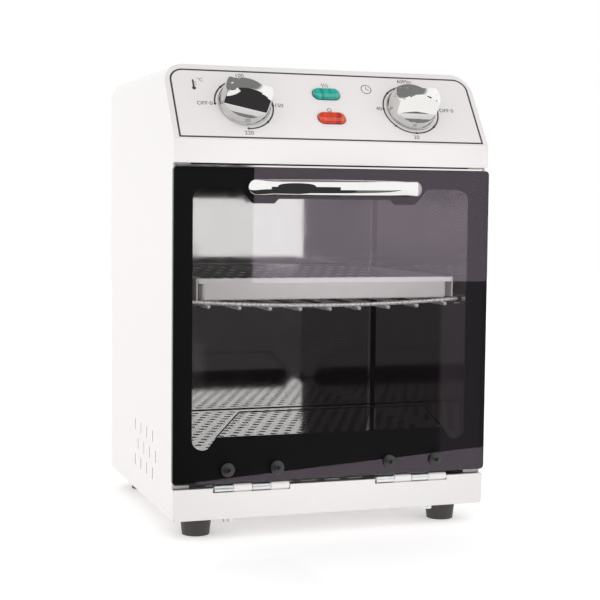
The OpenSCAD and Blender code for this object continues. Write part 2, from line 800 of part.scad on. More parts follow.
// a domed knob with a scoop on each side of its grip bar
module dial_knob(angle) {
    recess_d = knob_d - 8;
    hub_d = shaft_d + 7;
    recess_h = 6;
    lift = scoop_r + skirt_h;
    rotate(angle) translate([0, 0, knob_gap]) difference() {
        intersection() {
            cylinder(d1 = knob_d, d2 = knob_top_d, h = knob_h);
            translate([0, 0, knob_h - crest_r]) sphere(crest_r, $fn = 128);
        }
        for (s = [-1, 1])
            translate([0, s * (grip_w / 2 + scoop_r), lift]) rotate([0, 90, s * 3])
                cylinder(r = scoop_r, h = 2 * knob_d, center = true, $fn = 96);
        translate([0, 0, -cut]) difference() {
            cylinder(d = recess_d, h = recess_h + cut);
            cylinder(d = hub_d, h = recess_h + 2 * cut);
        }
        translate([0, 0, -cut]) d_shaft(shaft_out - knob_gap + cut);
        translate([knob_top_d / 2 - 3, 0, knob_h - 4]) cylinder(d = 1.6, h = 6);
    }
}

// a round shaft with one flat
module d_shaft(length) difference() {
    cylinder(d = shaft_d, h = length);
    translate([-shaft_d, shaft_d / 4, -cut]) cube([2 * shaft_d, shaft_d, length + 2 * cut]);
}

// flatted outside the panel, round where it runs in the control's body
module control_shaft(angle) rotate(angle) {
    d_shaft(shaft_out);
    translate([0, 0, -sheet_t - shaft_in]) cylinder(d = shaft_d, h = sheet_t + shaft_in);
}

module temperature_knob()
    color(chrome_plate) on_panel(-dial_offset, dial_rise) dial_knob(temperature_angle);

module thermostat_shaft()
    color(zinc) on_panel(-dial_offset, dial_rise) control_shaft(temperature_angle);

module timer_knob()
    color(chrome_plate) on_panel(dial_offset, dial_rise) dial_knob(timer_angle);

module timer_shaft()
    color(zinc) on_panel(dial_offset, dial_rise) control_shaft(timer_angle);

// the mounting plate of a control, with a running bore for its shaft
module control_front() difference() {
    translate([-plate_w / 2, -plate_w / 4, -control_plate_t]) cube([plate_w, plate_w / 2, control_plate_t]);
    control_bores();
}

module control_bores() {
    translate([0, 0, -shaft_in - slack]) cylinder(d = shaft_d + 2 * running, h = shaft_in + slack + cut);
    for (k = [-1, 1]) translate([k * control_screw_x, 0, -6])
        cylinder(d = control_screw_d, h = 6 + cut);
}

module thermostat()
    color([0.6, 0.6, 0.62]) on_panel(-dial_offset, dial_rise, -sheet_t) {
        control_front();
        difference() {
            translate([-thermostat_w / 2, -thermostat_h / 2, -control_plate_t - thermostat_depth])
                cube([thermostat_w, thermostat_h, thermostat_depth]);
            control_bores();
        }
    }

// the capillary drops through the shelf to the bulb on the chamber roof
module sensing_bulb() {
    bulb_z = roof_z + liner_t + fit + bulb_d / 2;
    under_body = [0, -sheet_t - control_plate_t - thermostat_depth];
    drop_v = (capillary_y - under_body[0] + cos(tilt) * under_body[1]) / sin(tilt);
    start_z = bend_z + drop_v * cos(tilt) + under_body[1] * sin(tilt);
    color([0.72, 0.45, 0.3]) {
        translate([capillary_x, capillary_y, bulb_z]) cylinder(d = capillary_d, h = start_z - bulb_z);
        translate([capillary_x, 0, bulb_z]) along_y(capillary_y, bulb_y - capillary_y) circle(d = capillary_d);
        translate([capillary_x, capillary_y, bulb_z]) sphere(d = capillary_d);
        translate([capillary_x, 0, bulb_z]) along_y(bulb_y, bulb_l) circle(d = bulb_d);
    }
}

module timer()
    color([0.6, 0.6, 0.62]) on_panel(dial_offset, dial_rise, -sheet_t) {
        control_front();
        difference() {
            translate([0, 0, -control_plate_t - timer_depth]) cylinder(d = timer_d, h = timer_depth);
            control_bores();
        }
    }

module timer_bell()
    color(zinc) on_panel(dial_offset, dial_rise, -sheet_t - control_plate_t - timer_depth - bell_depth)
        difference() {
            cylinder(d = bell_d, h = bell_depth);
            translate([0, 0, 1]) cylinder(d = bell_d - 2, h = bell_depth);
            translate([0, 0, -cut]) cylinder(d = 3, h = 3);
        }

module control_screws() {
    head_h = 1.4;
    color(zinc) for (s = [-1, 1], k = [-1, 1])
        on_panel(s * dial_offset + k * control_screw_x, dial_rise, head_h) mirror([0, 0, 1])
            pan_head(5.6, head_h, control_screw_d, sheet_t + 5.5);
}

module lamp_lens(v) {
    crown_r = (pow(lamp_rise, 2) + pow(lamp_w / 2, 2)) / (2 * lamp_rise);
    stem_l = lamp_l - 2 * lens_flange;
    stem_w = lamp_w - 2 * lens_flange;
    on_panel(0, v) {
        intersection() {
            translate([-lamp_l, -lamp_w, 0]) cube([2 * lamp_l, 2 * lamp_w, lamp_rise + cut]);
            translate([0, 0, lamp_rise - crown_r]) lens_crown(crown_r);
        }
        translate([0, 0, -sheet_t]) linear_extrude(sheet_t) slot_shape(stem_l, stem_w);
    }
}

// a capsule that is cut at the panel to the lens's outline
module lens_crown(r) {
    half = (lamp_l - lamp_w) / 2;
    rotate([0, 90, 0]) cylinder(r = r, h = 2 * half, center = true);
    for (s = [-1, 1]) translate([s * half, 0, 0]) sphere(r);
}

module run_lamp_lens() color([0.05, 0.6, 0.5]) lamp_lens(upper_lamp_rise);

module power_lamp_lens() color([0.85, 0.2, 0.08]) lamp_lens(lower_lamp_rise);

module lamp_housings()
    color([0.2, 0.2, 0.2]) for (v = [upper_lamp_rise, lower_lamp_rise])
        on_panel(0, v, -sheet_t - housing_depth) {
            linear_extrude(housing_depth) slot_shape(lamp_l, lamp_w);
            for (s = [-1, 1]) translate([s * 5 - 0.4, -2.4, -7]) cube([0.8, 4.8, 7]);
        }

// ---- heater and wiring side ----

// a tubular heater bent into a U, its legs carried by the back wall
module heating_element() {
    front_half = heater_x - heater_bend_r;
    bend_y = heater_front_y + heater_bend_r;
    tail_y = chamber_back + heater_tail;
    color([0.3, 0.3, 0.31]) translate([0, 0, heater_z]) {
        both_sides() {
            translate([heater_x, 0, 0]) along_y(bend_y, tail_y - bend_y) circle(d = heater_d);
            translate([front_half, bend_y, 0]) rotate(-90)
                rotate_extrude(angle = 90) translate([heater_bend_r, 0]) circle(d = heater_d);
            translate([heater_x, 0, 0]) along_y(tail_y, 5) circle(d = 2.5);
        }
        translate([0, heater_front_y, 0]) along_x(-front_half, 2 * front_half) circle(d = heater_d);
    }
}

module heater_bushings()
    color([0.9, 0.88, 0.84]) both_sides() translate([heater_x, 0, heater_z])
        along_y(chamber_back + liner_t, bushing_l) difference() {
            circle(d = bushing_d);
            circle(d = heater_d);
        }

module overheat_cutout()
    color([0.75, 0.7, 0.6]) translate([cutout_x, 0, cutout_z]) {
        along_y(chamber_back + liner_t, insulation_t) circle(d = cutout_d);
        for (s = [-1, 1]) translate([s * 3.5 - 0.4, chamber_back + liner_t + insulation_t, -2.4])
            cube([0.8, 6, 4.8]);
    }

module terminal_block() {
    block_w = 44;
    block_h = 20;
    block_d = 12;
    color([0.92, 0.92, 0.9]) translate([-block_w / 2, rear_y - block_d, gland_z - block_h / 2]) difference() {
        cube([block_w, block_d, block_h]);
        for (i = [0.5 : 1 : 3.5]) translate([i * block_w / 4, -cut, block_h / 2])
            rotate([-90, 0, 0]) cylinder(d = 5, h = 6 + cut);
    }
}

module cable_gland()
    color([0.1, 0.1, 0.1]) translate([gland_x, 0, gland_z]) difference() {
        union() {
            along_y(body_d, gland_flange_t) circle(d = gland_flange_d);
            along_y(rear_y - 5, body_d - rear_y + 5) circle(d = gland_d);
            along_y(rear_y - 4, 4) circle(d = gland_flange_d, $fn = 6);
        }
        along_y(rear_y - 5 - cut, 5 + sheet_t + gland_flange_t + 2 * cut) circle(d = gland_bore_d);
    }

// ---- rack and tray ----

module wire_rack() {
    rack_back = rack_front + rack_d;
    color(stainless) {
        both_sides() translate([side_wire_x, 0, side_wire_z])
            along_y(rack_front, rack_d) circle(d = wire_d);
        for (y = [rack_front + cross_wire_inset, rack_back - cross_wire_inset])
            translate([0, y, 0]) cross_wire();
        for (i = [0 : rack_wires - 1]) {
            x = (i - (rack_wires - 1) / 2) * rack_wire_pitch;
            translate([x, 0, side_wire_z - wire_sag(x)])
                along_y(rack_front, rack_d) circle(d = wire_d);
        }
    }
}

// a wire from side to side with a slight sag
module cross_wire() {
    half_angle = asin(side_wire_x / sag_r);
    translate([0, 0, cross_wire_z - rack_sag + sag_r]) rotate([90, 0, 0])
        rotate(-90 - half_angle) rotate_extrude(angle = 2 * half_angle, $fn = 1440)
        translate([sag_r, 0]) circle(d = wire_d, $fn = 32);
}

module tray_shape(inset) rounded_rectangle(tray_basin_w - 2 * inset, tray_d - 2 * tray_rim_w - 2 * inset,
                                           tray_corner_r - inset);

module instrument_tray()
    color(stainless) translate([0, rack_front + tray_d / 2, 0]) {
        translate([0, 0, tray_z]) linear_extrude(tray_t) tray_shape(0);
        translate([0, 0, tray_z]) linear_extrude(tray_h) difference() {
            tray_shape(0);
            tray_shape(tray_t);
        }
        translate([0, 0, tray_top_z - tray_t]) linear_extrude(tray_t) difference() {
            rounded_rectangle(tray_w, tray_d, tray_corner_r + tray_rim_w);
            tray_shape(tray_t);
        }
    }

// a perforated plate that stands on the tray's floor and leans on its back rim
module tray_insert()
    color(stainless) translate([-insert_w / 2, insert_front_y, insert_low_z]) rotate([insert_slope, 0, 0]) {
        translate([insert_w / 2, insert_l / 2, insert_fold - plate_t]) linear_extrude(plate_t) difference() {
            square([insert_w, insert_l], center = true);
            hole_field(insert_w, insert_l);
        }
        cube([insert_w, plate_t, insert_fold]);
        for (x = [0, insert_w - plate_t]) translate([x, 0, 0]) cube([plate_t, insert_l, insert_fold]);
    }

// ---- feet ----

module foot_places(z) for (s = [-1, 1], y = foot_ys) translate([s * foot_x, y, z]) children();

module rubber_feet()
    color([0.22, 0.21, 0.2]) foot_places(0) difference() {
        cylinder(d1 = foot_low_d, d2 = foot_top_d, h = foot_h);
        translate([0, 0, -cut]) cylinder(d = foot_socket_d, h = foot_h - foot_floor_t + cut);
        cylinder(d = foot_screw_d, h = foot_h + cut);
    }

module foot_screws()
    color(zinc) foot_places(foot_h - foot_floor_t - 3)
        pan_head(foot_socket_d - 1.5, 3, foot_screw_d, foot_floor_t + sheet_t + 4);

module in_frame() translate([0, -centre_y, 0]) children();

in_frame() {
    outer_cover();
    control_fascia();
    base_pan();
    rear_panel();
    control_shelf();
    chamber_liner();
    floor_plate();
    rack_ledges();
    insulation_jacket();
    door_glass();
    door_handle();
    handle_screws();
    hinge_door_leaves();
    hinge_base_leaves();
    hinge_pins();
    door_screws();
    hinge_base_screws();
    door_seal();
    catch_magnet();
    catch_plate();
    temperature_knob();
    thermostat_shaft();
    thermostat();
    sensing_bulb();
    timer_knob();
    timer_shaft();
    timer();
    timer_bell();
    control_screws();
    run_lamp_lens();
    power_lamp_lens();
    lamp_housings();
    heating_element();
    heater_bushings();
    overheat_cutout();
    terminal_block();
    cable_gland();
    rear_panel_screws();
    wire_rack();
    instrument_tray();
    tray_insert();
    rubber_feet();
    foot_screws();
}
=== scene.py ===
# Benchtop dry-heat oven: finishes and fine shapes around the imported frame.
# The frame's own axes: +X right, +Y to the back, +Z up, floor at Z = 0.
# The pieces' settings are in millimetres and degrees, those of the camera and studio in metres.
import math

import bmesh
import bpy
from mathutils import Matrix, Vector


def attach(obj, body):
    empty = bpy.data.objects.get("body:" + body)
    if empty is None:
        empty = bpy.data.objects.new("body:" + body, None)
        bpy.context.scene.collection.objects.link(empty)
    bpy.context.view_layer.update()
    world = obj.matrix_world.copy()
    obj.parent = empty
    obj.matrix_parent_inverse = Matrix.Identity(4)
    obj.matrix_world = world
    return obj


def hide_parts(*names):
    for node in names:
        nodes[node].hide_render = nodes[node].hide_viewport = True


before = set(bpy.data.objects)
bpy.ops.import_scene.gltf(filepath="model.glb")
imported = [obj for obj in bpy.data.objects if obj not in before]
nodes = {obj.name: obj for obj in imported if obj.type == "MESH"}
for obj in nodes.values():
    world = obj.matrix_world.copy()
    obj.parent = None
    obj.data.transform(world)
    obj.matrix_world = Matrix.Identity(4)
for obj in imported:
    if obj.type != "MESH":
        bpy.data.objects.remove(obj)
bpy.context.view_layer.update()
mm = 0.001
print("frame loaded,", len(nodes), "nodes")

cabinet = dict(  # places of the frame that several pieces share, in millimetres
    frontY=-100.0,  # front plane of the sheet-metal body
    bendZ=284.3,  # where the sloped panel starts
    setback=38.7,
    rise=55.1,
    bodyZ=15.0,  # underside of the body
    glassFront=-101.0,
    glassBack=-97.0,
)


# helpers for places and meshes

def panelPlace(across=0.0, upSlope=0.0, out=0.0, turn=0.0):
    slope = math.hypot(cabinet["setback"], cabinet["rise"])
    side = Vector((1, 0, 0))
    up = Vector((0, cabinet["setback"] / slope, cabinet["rise"] / slope))
    normal = side.cross(up)
    foot = Vector((0, cabinet["frontY"], cabinet["bendZ"])) * mm
    place = Matrix((side, up, normal)).transposed().to_4x4()
    place.translation = foot + (side * across + up * upSlope + normal * out) * mm
    return place @ Matrix.Rotation(math.radians(turn), 4, "Z")


def doorPlace(behind=0.0):  # x across, y up from the underside of the body, z towards the viewer
    place = Matrix.Rotation(math.radians(90), 4, "X")
    place.translation = Vector((0, cabinet["glassBack"] - behind, cabinet["bodyZ"])) * mm
    return place


def addPiece(name, mesh, material, body, smooth=True, replaces=()):
    mesh.materials.clear()
    mesh.materials.append(material)
    mesh.name = name
    piece = bpy.data.objects.new(name, mesh)
    bpy.context.scene.collection.objects.link(piece)
    for face in mesh.polygons:
        face.use_smooth = smooth and len(face.vertices) < 5  # broad flat faces keep their own normal
    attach(piece, body)
    if replaces:
        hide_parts(*replaces)
    return piece


def meshFrom(points, faces, place=None, weld=0.0, crease=None):
    mesh = bpy.data.meshes.new("shape")
    mesh.from_pydata([Vector(p) * mm for p in points], [], faces)
    work = bmesh.new()
    work.from_mesh(mesh)
    if weld:
        bmesh.ops.remove_doubles(work, verts=work.verts, dist=weld * mm)
        bmesh.ops.dissolve_degenerate(work, edges=work.edges, dist=weld * mm)
    bmesh.ops.recalc_face_normals(work, faces=work.faces)
    work.to_mesh(mesh)
    work.free()
    if crease is not None:
        mesh.set_sharp_from_angle(angle=math.radians(crease))
    if place is not None:
        mesh.transform(place)
    return mesh


def ringFaces(rings, count):  # quads between closed rings of points, one after the other
    faces = []
    for r in range(rings - 1):
        for i in range(count):
            j = (i + 1) % count
            faces.append((r * count + i, r * count + j, (r + 1) * count + j, (r + 1) * count + i))
    return faces


def tubeFaces(rings, count):  # the same with both ends closed
    last = (rings - 1) * count
    return ringFaces(rings, count) + [tuple(range(count)), tuple(range(last, last + count))]


def roundedLoop(left, low, right, high, radii, steps=10):
    # radii go round from the upper right corner by way of the upper left one
    corners = [(right, high, radii[0], 0), (left, high, radii[1], 90),
               (left, low, radii[2], 180), (right, low, radii[3], 270)]
    loop = []
    for x, y, r, start in corners:
        middleX = x - r if x == right else x + r
        middleY = y - r if y == high else y + r
        for i in range(steps + 1 if r else 1):
            a = math.radians(start + 90 * i / steps)
            loop.append((middleX + r * math.cos(a), middleY + r * math.sin(a)))
    return loop


def joined(meshes):
    work = bmesh.new()
    for mesh in meshes:
        work.from_mesh(mesh)
        bpy.data.meshes.remove(mesh)
    mesh = bpy.data.meshes.new("shape")
    work.to_mesh(mesh)
    work.free()
    return mesh


def stroke(path, width, closed=False):
    # a line of even width along a path, as one or two loops
    sides = ([], [])
    count = len(path)
    for i in range(count):
        before = Vector(path[i - 1] if closed or i else path[i])
        here = Vector(path[i])
        after = Vector(path[(i + 1) % count] if closed or i < count - 1 else path[i])
        a = (here - before).normalized() if (here - before).length else (after - here).normalized()
        b = (after - here).normalized() if (after - here).length else a
        bisector = (a + b).normalized()
        across = Vector((-bisector.y, bisector.x))
        reach = width / 2 / max(0.5, across.dot(Vector((-a.y, a.x))))
        sides[0].append(tuple(here + across * reach))
        sides[1].append(tuple(here - across * reach))
    return [sides[0], sides[1]] if closed else [sides[0] + sides[1][::-1]]


def bent(path, radius, steps=5):
    # the same path with its inner corners rounded
    result = [path[0]]
    for before, here, after in zip(path, path[1:], path[2:]):
        here = Vector(here)
        u, v = (Vector(before) - here).normalized(), (Vector(after) - here).normalized()
        half = u.angle(v) / 2
        centre = here + (u + v).normalized() * (radius / math.sin(half))
        run = math.tan(half)
        first, last = here + u * radius / run - centre, here + v * radius / run - centre
        for i in range(steps + 1):
            spoke = first.lerp(last, i / steps).normalized() * radius
            result.append(tuple(centre + spoke))
    return result + [path[-1]]


def alongY(x=0.0, y=0.0, z=0.0):  # a profile in x and z, drawn out along y
    return Matrix.Translation(Vector((x, y, z)) * mm) @ Matrix.Rotation(math.radians(90), 4, "X")


def alongX(x=0.0, y=0.0, z=0.0):  # a profile in y and z, drawn out along x
    turned = Matrix(((0, 0, 1, 0), (1, 0, 0, 0), (0, 1, 0, 0), (0, 0, 0, 1)))
    return Matrix.Translation(Vector((x, y, z)) * mm) @ turned


def wireMesh(path, r, around=20, capSteps=5, capDepth=0.6, capTurn=0.98):
    # a round wire along a path, with ground ends; capDepth is a share of its radius
    path = [Vector(p) for p in path]
    stops = []
    for i, here in enumerate(path):
        ahead = (path[min(i + 1, len(path) - 1)] - path[max(i - 1, 0)]).normalized()
        stops.append((here, ahead, r))
    first, last = stops[0], stops[-1]
    start = [(first[0] - first[1] * r * (capDepth * math.sin(a) - capDepth), first[1], r * math.cos(a))
             for a in (math.pi / 2 * (1 - k / capSteps) * capTurn for k in range(capSteps))]
    finish = [(last[0] + last[1] * r * (capDepth * math.sin(a) - capDepth), last[1], r * math.cos(a))
              for a in (math.pi / 2 * (k / capSteps) * capTurn for k in range(1, capSteps + 1))]
    stops[0] = (first[0] + first[1] * r * capDepth, first[1], r)
    stops[-1] = (last[0] - last[1] * r * capDepth, last[1], r)
    turns = [2 * math.pi * i / around for i in range(around)]
    points = []
    for here, ahead, radius in start + stops + finish:
        side = ahead.cross(Vector((0, 0, 1))).normalized()
        rise = side.cross(ahead)
        points += [tuple(here + (side * math.cos(a) + rise * math.sin(a)) * radius) for a in turns]
    return meshFrom(points, tubeFaces(len(points) // around, around))


def arcPath(cx, cy, r, start, end, steps=40):
    return [(cx + r * math.cos(math.radians(start + (end - start) * i / steps)),
             cy + r * math.sin(math.radians(start + (end - start) * i / steps))) for i in range(steps + 1)]


def dot(cx, cy, r):  # a small filled circle
    return [arcPath(cx, cy, r, 0, 345, 23)]


letterCap = 0.729  # height of a capital in the built-in font at size 1
fillWeld = 0.001  # points of a creased shape that lie closer than this are one, in millimetres


def filledMesh(shapes, place, thickness=0.0, letters=(), crease=None):
    # each shape is a list of loops, the outer one and its holes; letters are (text, x, y, cap height)
    points, faces = [], []

    def take(data):
        holder = bpy.data.objects.new("holder", data)
        bpy.context.scene.collection.objects.link(holder)
        bpy.context.view_layer.update()
        settled = holder.evaluated_get(bpy.context.evaluated_depsgraph_get())
        flat = settled.to_mesh()
        found = [tuple(v.co) for v in flat.vertices], [tuple(p.vertices) for p in flat.polygons]
        settled.to_mesh_clear()
        bpy.data.objects.remove(holder)
        bpy.data.curves.remove(data)
        return found

    def keep(found, scale=1.0, dx=0.0, dy=0.0):
        base = len(points)
        points.extend((x * scale + dx, y * scale + dy, z * scale) for x, y, z in found[0])
        faces.extend(tuple(base + i for i in face) for face in found[1])

    for loops in shapes:
        curve = bpy.data.curves.new("outline", "CURVE")
        curve.dimensions = "2D"
        curve.fill_mode = "BOTH"
        curve.extrude = thickness / 2
        for loop in loops:
            spline = curve.splines.new("POLY")
            spline.points.add(len(loop) - 1)
            spline.use_cyclic_u = True
            for point, (x, y) in zip(spline.points, loop):
                point.co = (x, y, 0, 1)
        keep(take(curve))
    for text, x, y, cap in letters:
        font = bpy.data.curves.new("letters", "FONT")
        font.body = text
        font.align_x = "CENTER"
        font.align_y = "CENTER"
        font.resolution_u = 6
        found = take(font)
        ys = [p[1] for p in found[0]]
        xs = [p[0] for p in found[0]]
        scale = cap / letterCap
        keep(found, scale, x - scale * (max(xs) + min(xs)) / 2, y - scale * (max(ys) + min(ys)) / 2)
    return meshFrom(points, faces, place, weld=fillWeld if crease else 0.0, crease=crease)


# shader node groups

def newGroup(name, inputs, outputs):
    tree = bpy.data.node_groups.new(name, "ShaderNodeTree")
    for label, kind, value in inputs:
        socket = tree.interface.new_socket(name=label, in_out="INPUT", socket_type=kind)
        socket.default_value = value
    for label, kind in outputs:
        tree.interface.new_socket(name=label, in_out="OUTPUT", socket_type=kind)
    return tree, tree.nodes.new("NodeGroupInput"), tree.nodes.new("NodeGroupOutput")


def mathNode(tree, operation, a, b=None, clamp=False):
    node = tree.nodes.new("ShaderNodeMath")
    node.operation = operation
    node.use_clamp = clamp
    for i, value in enumerate((a, b)):
        if value is None:
            continue
        if isinstance(value, (int, float)):
            node.inputs[i].default_value = value
        else:
            tree.links.new(value, node.inputs[i])
    return node.outputs[0]


def makeGrain():
    # noise in the piece's own coordinates, stretched along any axis, spread between two levels
    tree, given, result = newGroup(
        "surfaceGrain",
        [("Scale", "NodeSocketFloat", 600.0), ("Stretch", "NodeSocketVector", (1, 1, 1)),
         ("Detail", "NodeSocketFloat", 3.0), ("Low", "NodeSocketFloat", 0.3),
         ("High", "NodeSocketFloat", 0.7)],
        [("Value", "NodeSocketFloat")])
    place = tree.nodes.new("ShaderNodeTexCoord")
    scaled = tree.nodes.new("ShaderNodeVectorMath")
    scaled.operation = "MULTIPLY"
    noise = tree.nodes.new("ShaderNodeTexNoise")
    levels = tree.nodes.new("ShaderNodeMapRange")
    tree.links.new(place.outputs["Object"], scaled.inputs[0])
    tree.links.new(given.outputs["Stretch"], scaled.inputs[1])
    tree.links.new(scaled.outputs[0], noise.inputs["Vector"])
    tree.links.new(given.outputs["Scale"], noise.inputs["Scale"])
    tree.links.new(given.outputs["Detail"], noise.inputs["Detail"])
    tree.links.new(noise.outputs["Fac"], levels.inputs["Value"])
    tree.links.new(given.outputs["Low"], levels.inputs["From Min"])
    tree.links.new(given.outputs["High"], levels.inputs["From Max"])
    tree.links.new(levels.outputs["Result"], result.inputs["Value"])
    return tree


handlingShape = dict(
    smearFrom=0.42, smearGain=3.0, smearDetail=4, smearTwist=0.6,  # where marks start, how fast they fill
    hairFrom=0.62, hairGain=9.0, hairDetail=1, hairTurn=(0.3, 0.5, 0.9), hairStretch=(1, 0.04, 0.3),
)


def makeHandling():
    # soft smears and fine hair scratches where a surface is touched and wiped
    h = handlingShape
    tree, given, result = newGroup(
        "handlingMarks",
        [("Smear Scale", "NodeSocketFloat", 30.0), ("Scratch Scale", "NodeSocketFloat", 900.0),
         ("Scratches", "NodeSocketFloat", 0.3)],
        [("Mask", "NodeSocketFloat")])
    place = tree.nodes.new("ShaderNodeTexCoord")
    smear = tree.nodes.new("ShaderNodeTexNoise")
    smear.inputs["Detail"].default_value = h["smearDetail"]
    smear.inputs["Distortion"].default_value = h["smearTwist"]
    hair = tree.nodes.new("ShaderNodeTexNoise")
    hair.inputs["Detail"].default_value = h["hairDetail"]
    turned = tree.nodes.new("ShaderNodeMapping")
    turned.inputs["Rotation"].default_value = h["hairTurn"]
    turned.inputs["Scale"].default_value = h["hairStretch"]
    tree.links.new(place.outputs["Object"], smear.inputs["Vector"])
    tree.links.new(given.outputs["Smear Scale"], smear.inputs["Scale"])
    tree.links.new(place.outputs["Object"], turned.inputs["Vector"])
    tree.links.new(turned.outputs[0], hair.inputs["Vector"])
    tree.links.new(given.outputs["Scratch Scale"], hair.inputs["Scale"])
    soft = mathNode(tree, "SUBTRACT", smear.outputs["Fac"], h["smearFrom"], True)
    soft = mathNode(tree, "MULTIPLY", soft, h["smearGain"], True)
    fine = mathNode(tree, "SUBTRACT", hair.outputs["Fac"], h["hairFrom"], True)
    fine = mathNode(tree, "MULTIPLY", fine, h["hairGain"], True)
    fine = mathNode(tree, "MULTIPLY", fine, given.outputs["Scratches"])
    tree.links.new(mathNode(tree, "ADD", soft, fine, True), result.inputs["Mask"])
    return tree


def makeSettled():
    # dust that lies on whatever faces up, thicker in patches
    tree, given, result = newGroup(
        "settledDust",
        [("Amount", "NodeSocketFloat", 0.2), ("Scale", "NodeSocketFloat", 60.0)],
        [("Mask", "NodeSocketFloat")])
    shape = tree.nodes.new("ShaderNodeNewGeometry")
    split = tree.nodes.new("ShaderNodeSeparateXYZ")
    place = tree.nodes.new("ShaderNodeTexCoord")
    patches = tree.nodes.new("ShaderNodeTexNoise")
    patches.inputs["Detail"].default_value = 5
    tree.links.new(shape.outputs["Normal"], split.inputs[0])
    tree.links.new(place.outputs["Object"], patches.inputs["Vector"])
    tree.links.new(given.outputs["Scale"], patches.inputs["Scale"])
    facing = mathNode(tree, "MAXIMUM", split.outputs["Z"], 0.0)
    patchy = mathNode(tree, "MULTIPLY", facing, patches.outputs["Fac"])
    mask = mathNode(tree, "MULTIPLY", patchy, given.outputs["Amount"], True)
    tree.links.new(mask, result.inputs["Mask"])
    return tree


grainGroup = makeGrain()
handlingGroup = makeHandling()
settledGroup = makeSettled()
print("node groups made")


def placeGroup(tree, group, **values):
    node = tree.nodes.new("ShaderNodeGroup")
    node.node_tree = group
    for label, value in values.items():
        node.inputs[label.replace("_", " ")].default_value = value
    return node.outputs[0]


finishShape = dict(
    marksLift=0.7, marksShare=0.6,  # how strongly smears and scratches raise the roughness
    dustColour=(0.55, 0.53, 0.5, 1), edgeSamples=4,
    reliefDetail=2.0, reliefLow=0.2, reliefHigh=0.8,
)


def makeFinish(name, colour, second, rough, grain, sockets=None, bump=0.0, bumpScale=None,
               marks=0.0, dust=0.0, edge=0.0, speck=0.5):
    # colour and second are mixed by grain, which is (scale, stretch, detail); rough is (lowest, highest)
    # bump and edge are in millimetres: the height of the relief and the radius of the softened edges
    f = finishShape
    material = bpy.data.materials.new(name)
    material.use_nodes = True
    tree = material.node_tree
    shader = tree.nodes["Principled BSDF"]
    for label, value in (sockets or {}).items():
        shader.inputs[label].default_value = value
    material.diffuse_color = (*colour, 1)
    grainOut = placeGroup(tree, grainGroup, Scale=grain[0], Stretch=grain[1], Detail=grain[2],
                          Low=0.5 - speck / 2, High=0.5 + speck / 2)
    mix = tree.nodes.new("ShaderNodeMix")
    mix.data_type = "RGBA"
    mix.inputs["A"].default_value = (*colour, 1)
    mix.inputs["B"].default_value = (*second, 1)
    tree.links.new(grainOut, mix.inputs["Factor"])
    colourOut = mix.outputs["Result"]
    roughFrom = grainOut
    if marks:
        handling = placeGroup(tree, handlingGroup, Scratches=marks)
        roughFrom = mathNode(tree, "MULTIPLY_ADD", handling, f["marksLift"])
        tree.links.new(grainOut, roughFrom.node.inputs[2])
        roughFrom = mathNode(tree, "MULTIPLY", roughFrom, f["marksShare"], True)
    if dust:
        settled = placeGroup(tree, settledGroup, Amount=dust)
        dusty = tree.nodes.new("ShaderNodeMix")
        dusty.data_type = "RGBA"
        dusty.inputs["B"].default_value = f["dustColour"]
        tree.links.new(settled, dusty.inputs["Factor"])
        tree.links.new(colourOut, dusty.inputs["A"])
        colourOut = dusty.outputs["Result"]
    tree.links.new(colourOut, shader.inputs["Base Color"])
    spread = tree.nodes.new("ShaderNodeMapRange")
    spread.inputs["To Min"].default_value = rough[0]
    spread.inputs["To Max"].default_value = rough[1]
    tree.links.new(roughFrom, spread.inputs["Value"])
    tree.links.new(spread.outputs["Result"], shader.inputs["Roughness"])
    normalFrom = None
    if edge:
        rounded = tree.nodes.new("ShaderNodeBevel")
        rounded.samples = f["edgeSamples"]
        rounded.inputs["Radius"].default_value = edge * mm
        normalFrom = rounded.outputs["Normal"]
    if bump:
        relief = placeGroup(tree, grainGroup, Scale=bumpScale or grain[0], Stretch=grain[1],
                            Detail=f["reliefDetail"], Low=f["reliefLow"], High=f["reliefHigh"])
        raised = tree.nodes.new("ShaderNodeBump")
        raised.inputs["Strength"].default_value = 1.0
        raised.inputs["Distance"].default_value = bump * mm
        tree.links.new(relief, raised.inputs["Height"])
        if normalFrom:
            tree.links.new(normalFrom, raised.inputs["Normal"])
        normalFrom = raised.outputs["Normal"]
    if normalFrom:
        tree.links.new(normalFrom, shader.inputs["Normal"])
    return material


steel = {"Metallic": 1.0}
even = (1, 1, 1)  # grain that is the same along every axis
paint = {"Specular IOR Level": 0.28, "Coat Weight": 0.05, "Coat Roughness": 0.12}
whiteEnamel = makeFinish("whiteEnamel", (0.785, 0.757, 0.751), (0.795, 0.768, 0.762), (0.29, 0.33),
                         (160, even, 3.0), paint, bump=0.002, bumpScale=420, edge=0.6)
mirrorSteel = makeFinish("mirrorSteel", (0.62, 0.615, 0.60), (0.65, 0.645, 0.63), (0.04, 0.10),
                         (90, even, 4.0), steel, bump=0.004, bumpScale=35, marks=0.5)
plateSteel = makeFinish("plateSteel", (0.42, 0.415, 0.41), (0.45, 0.445, 0.44), (0.06, 0.12),
                        (90, even, 4.0), steel, bump=0.004, bumpScale=35, marks=0.5)
traySteel = makeFinish("traySteel", (0.83, 0.80, 0.79), (0.88, 0.85, 0.84), (0.30, 0.42),
                       (260, (1, 0.1, 1), 3.0), {"Metallic": 0.15}, bump=0.004, bumpScale=50,
                       marks=0.6, edge=0.3)
insertSteel = makeFinish("insertSteel", (0.72, 0.71, 0.69), (0.77, 0.76, 0.74), (0.10, 0.18),
                         (260, (0.1, 1, 1), 3.0), {"Metallic": 0.2}, bump=0.003, bumpScale=50,
                         marks=0.5, edge=0.3)
wireSteel = makeFinish("wireSteel", (0.86, 0.84, 0.83), (0.92, 0.90, 0.89), (0.22, 0.34),
                       (400, even, 3.0), {"Metallic": 0.45}, bump=0.001)
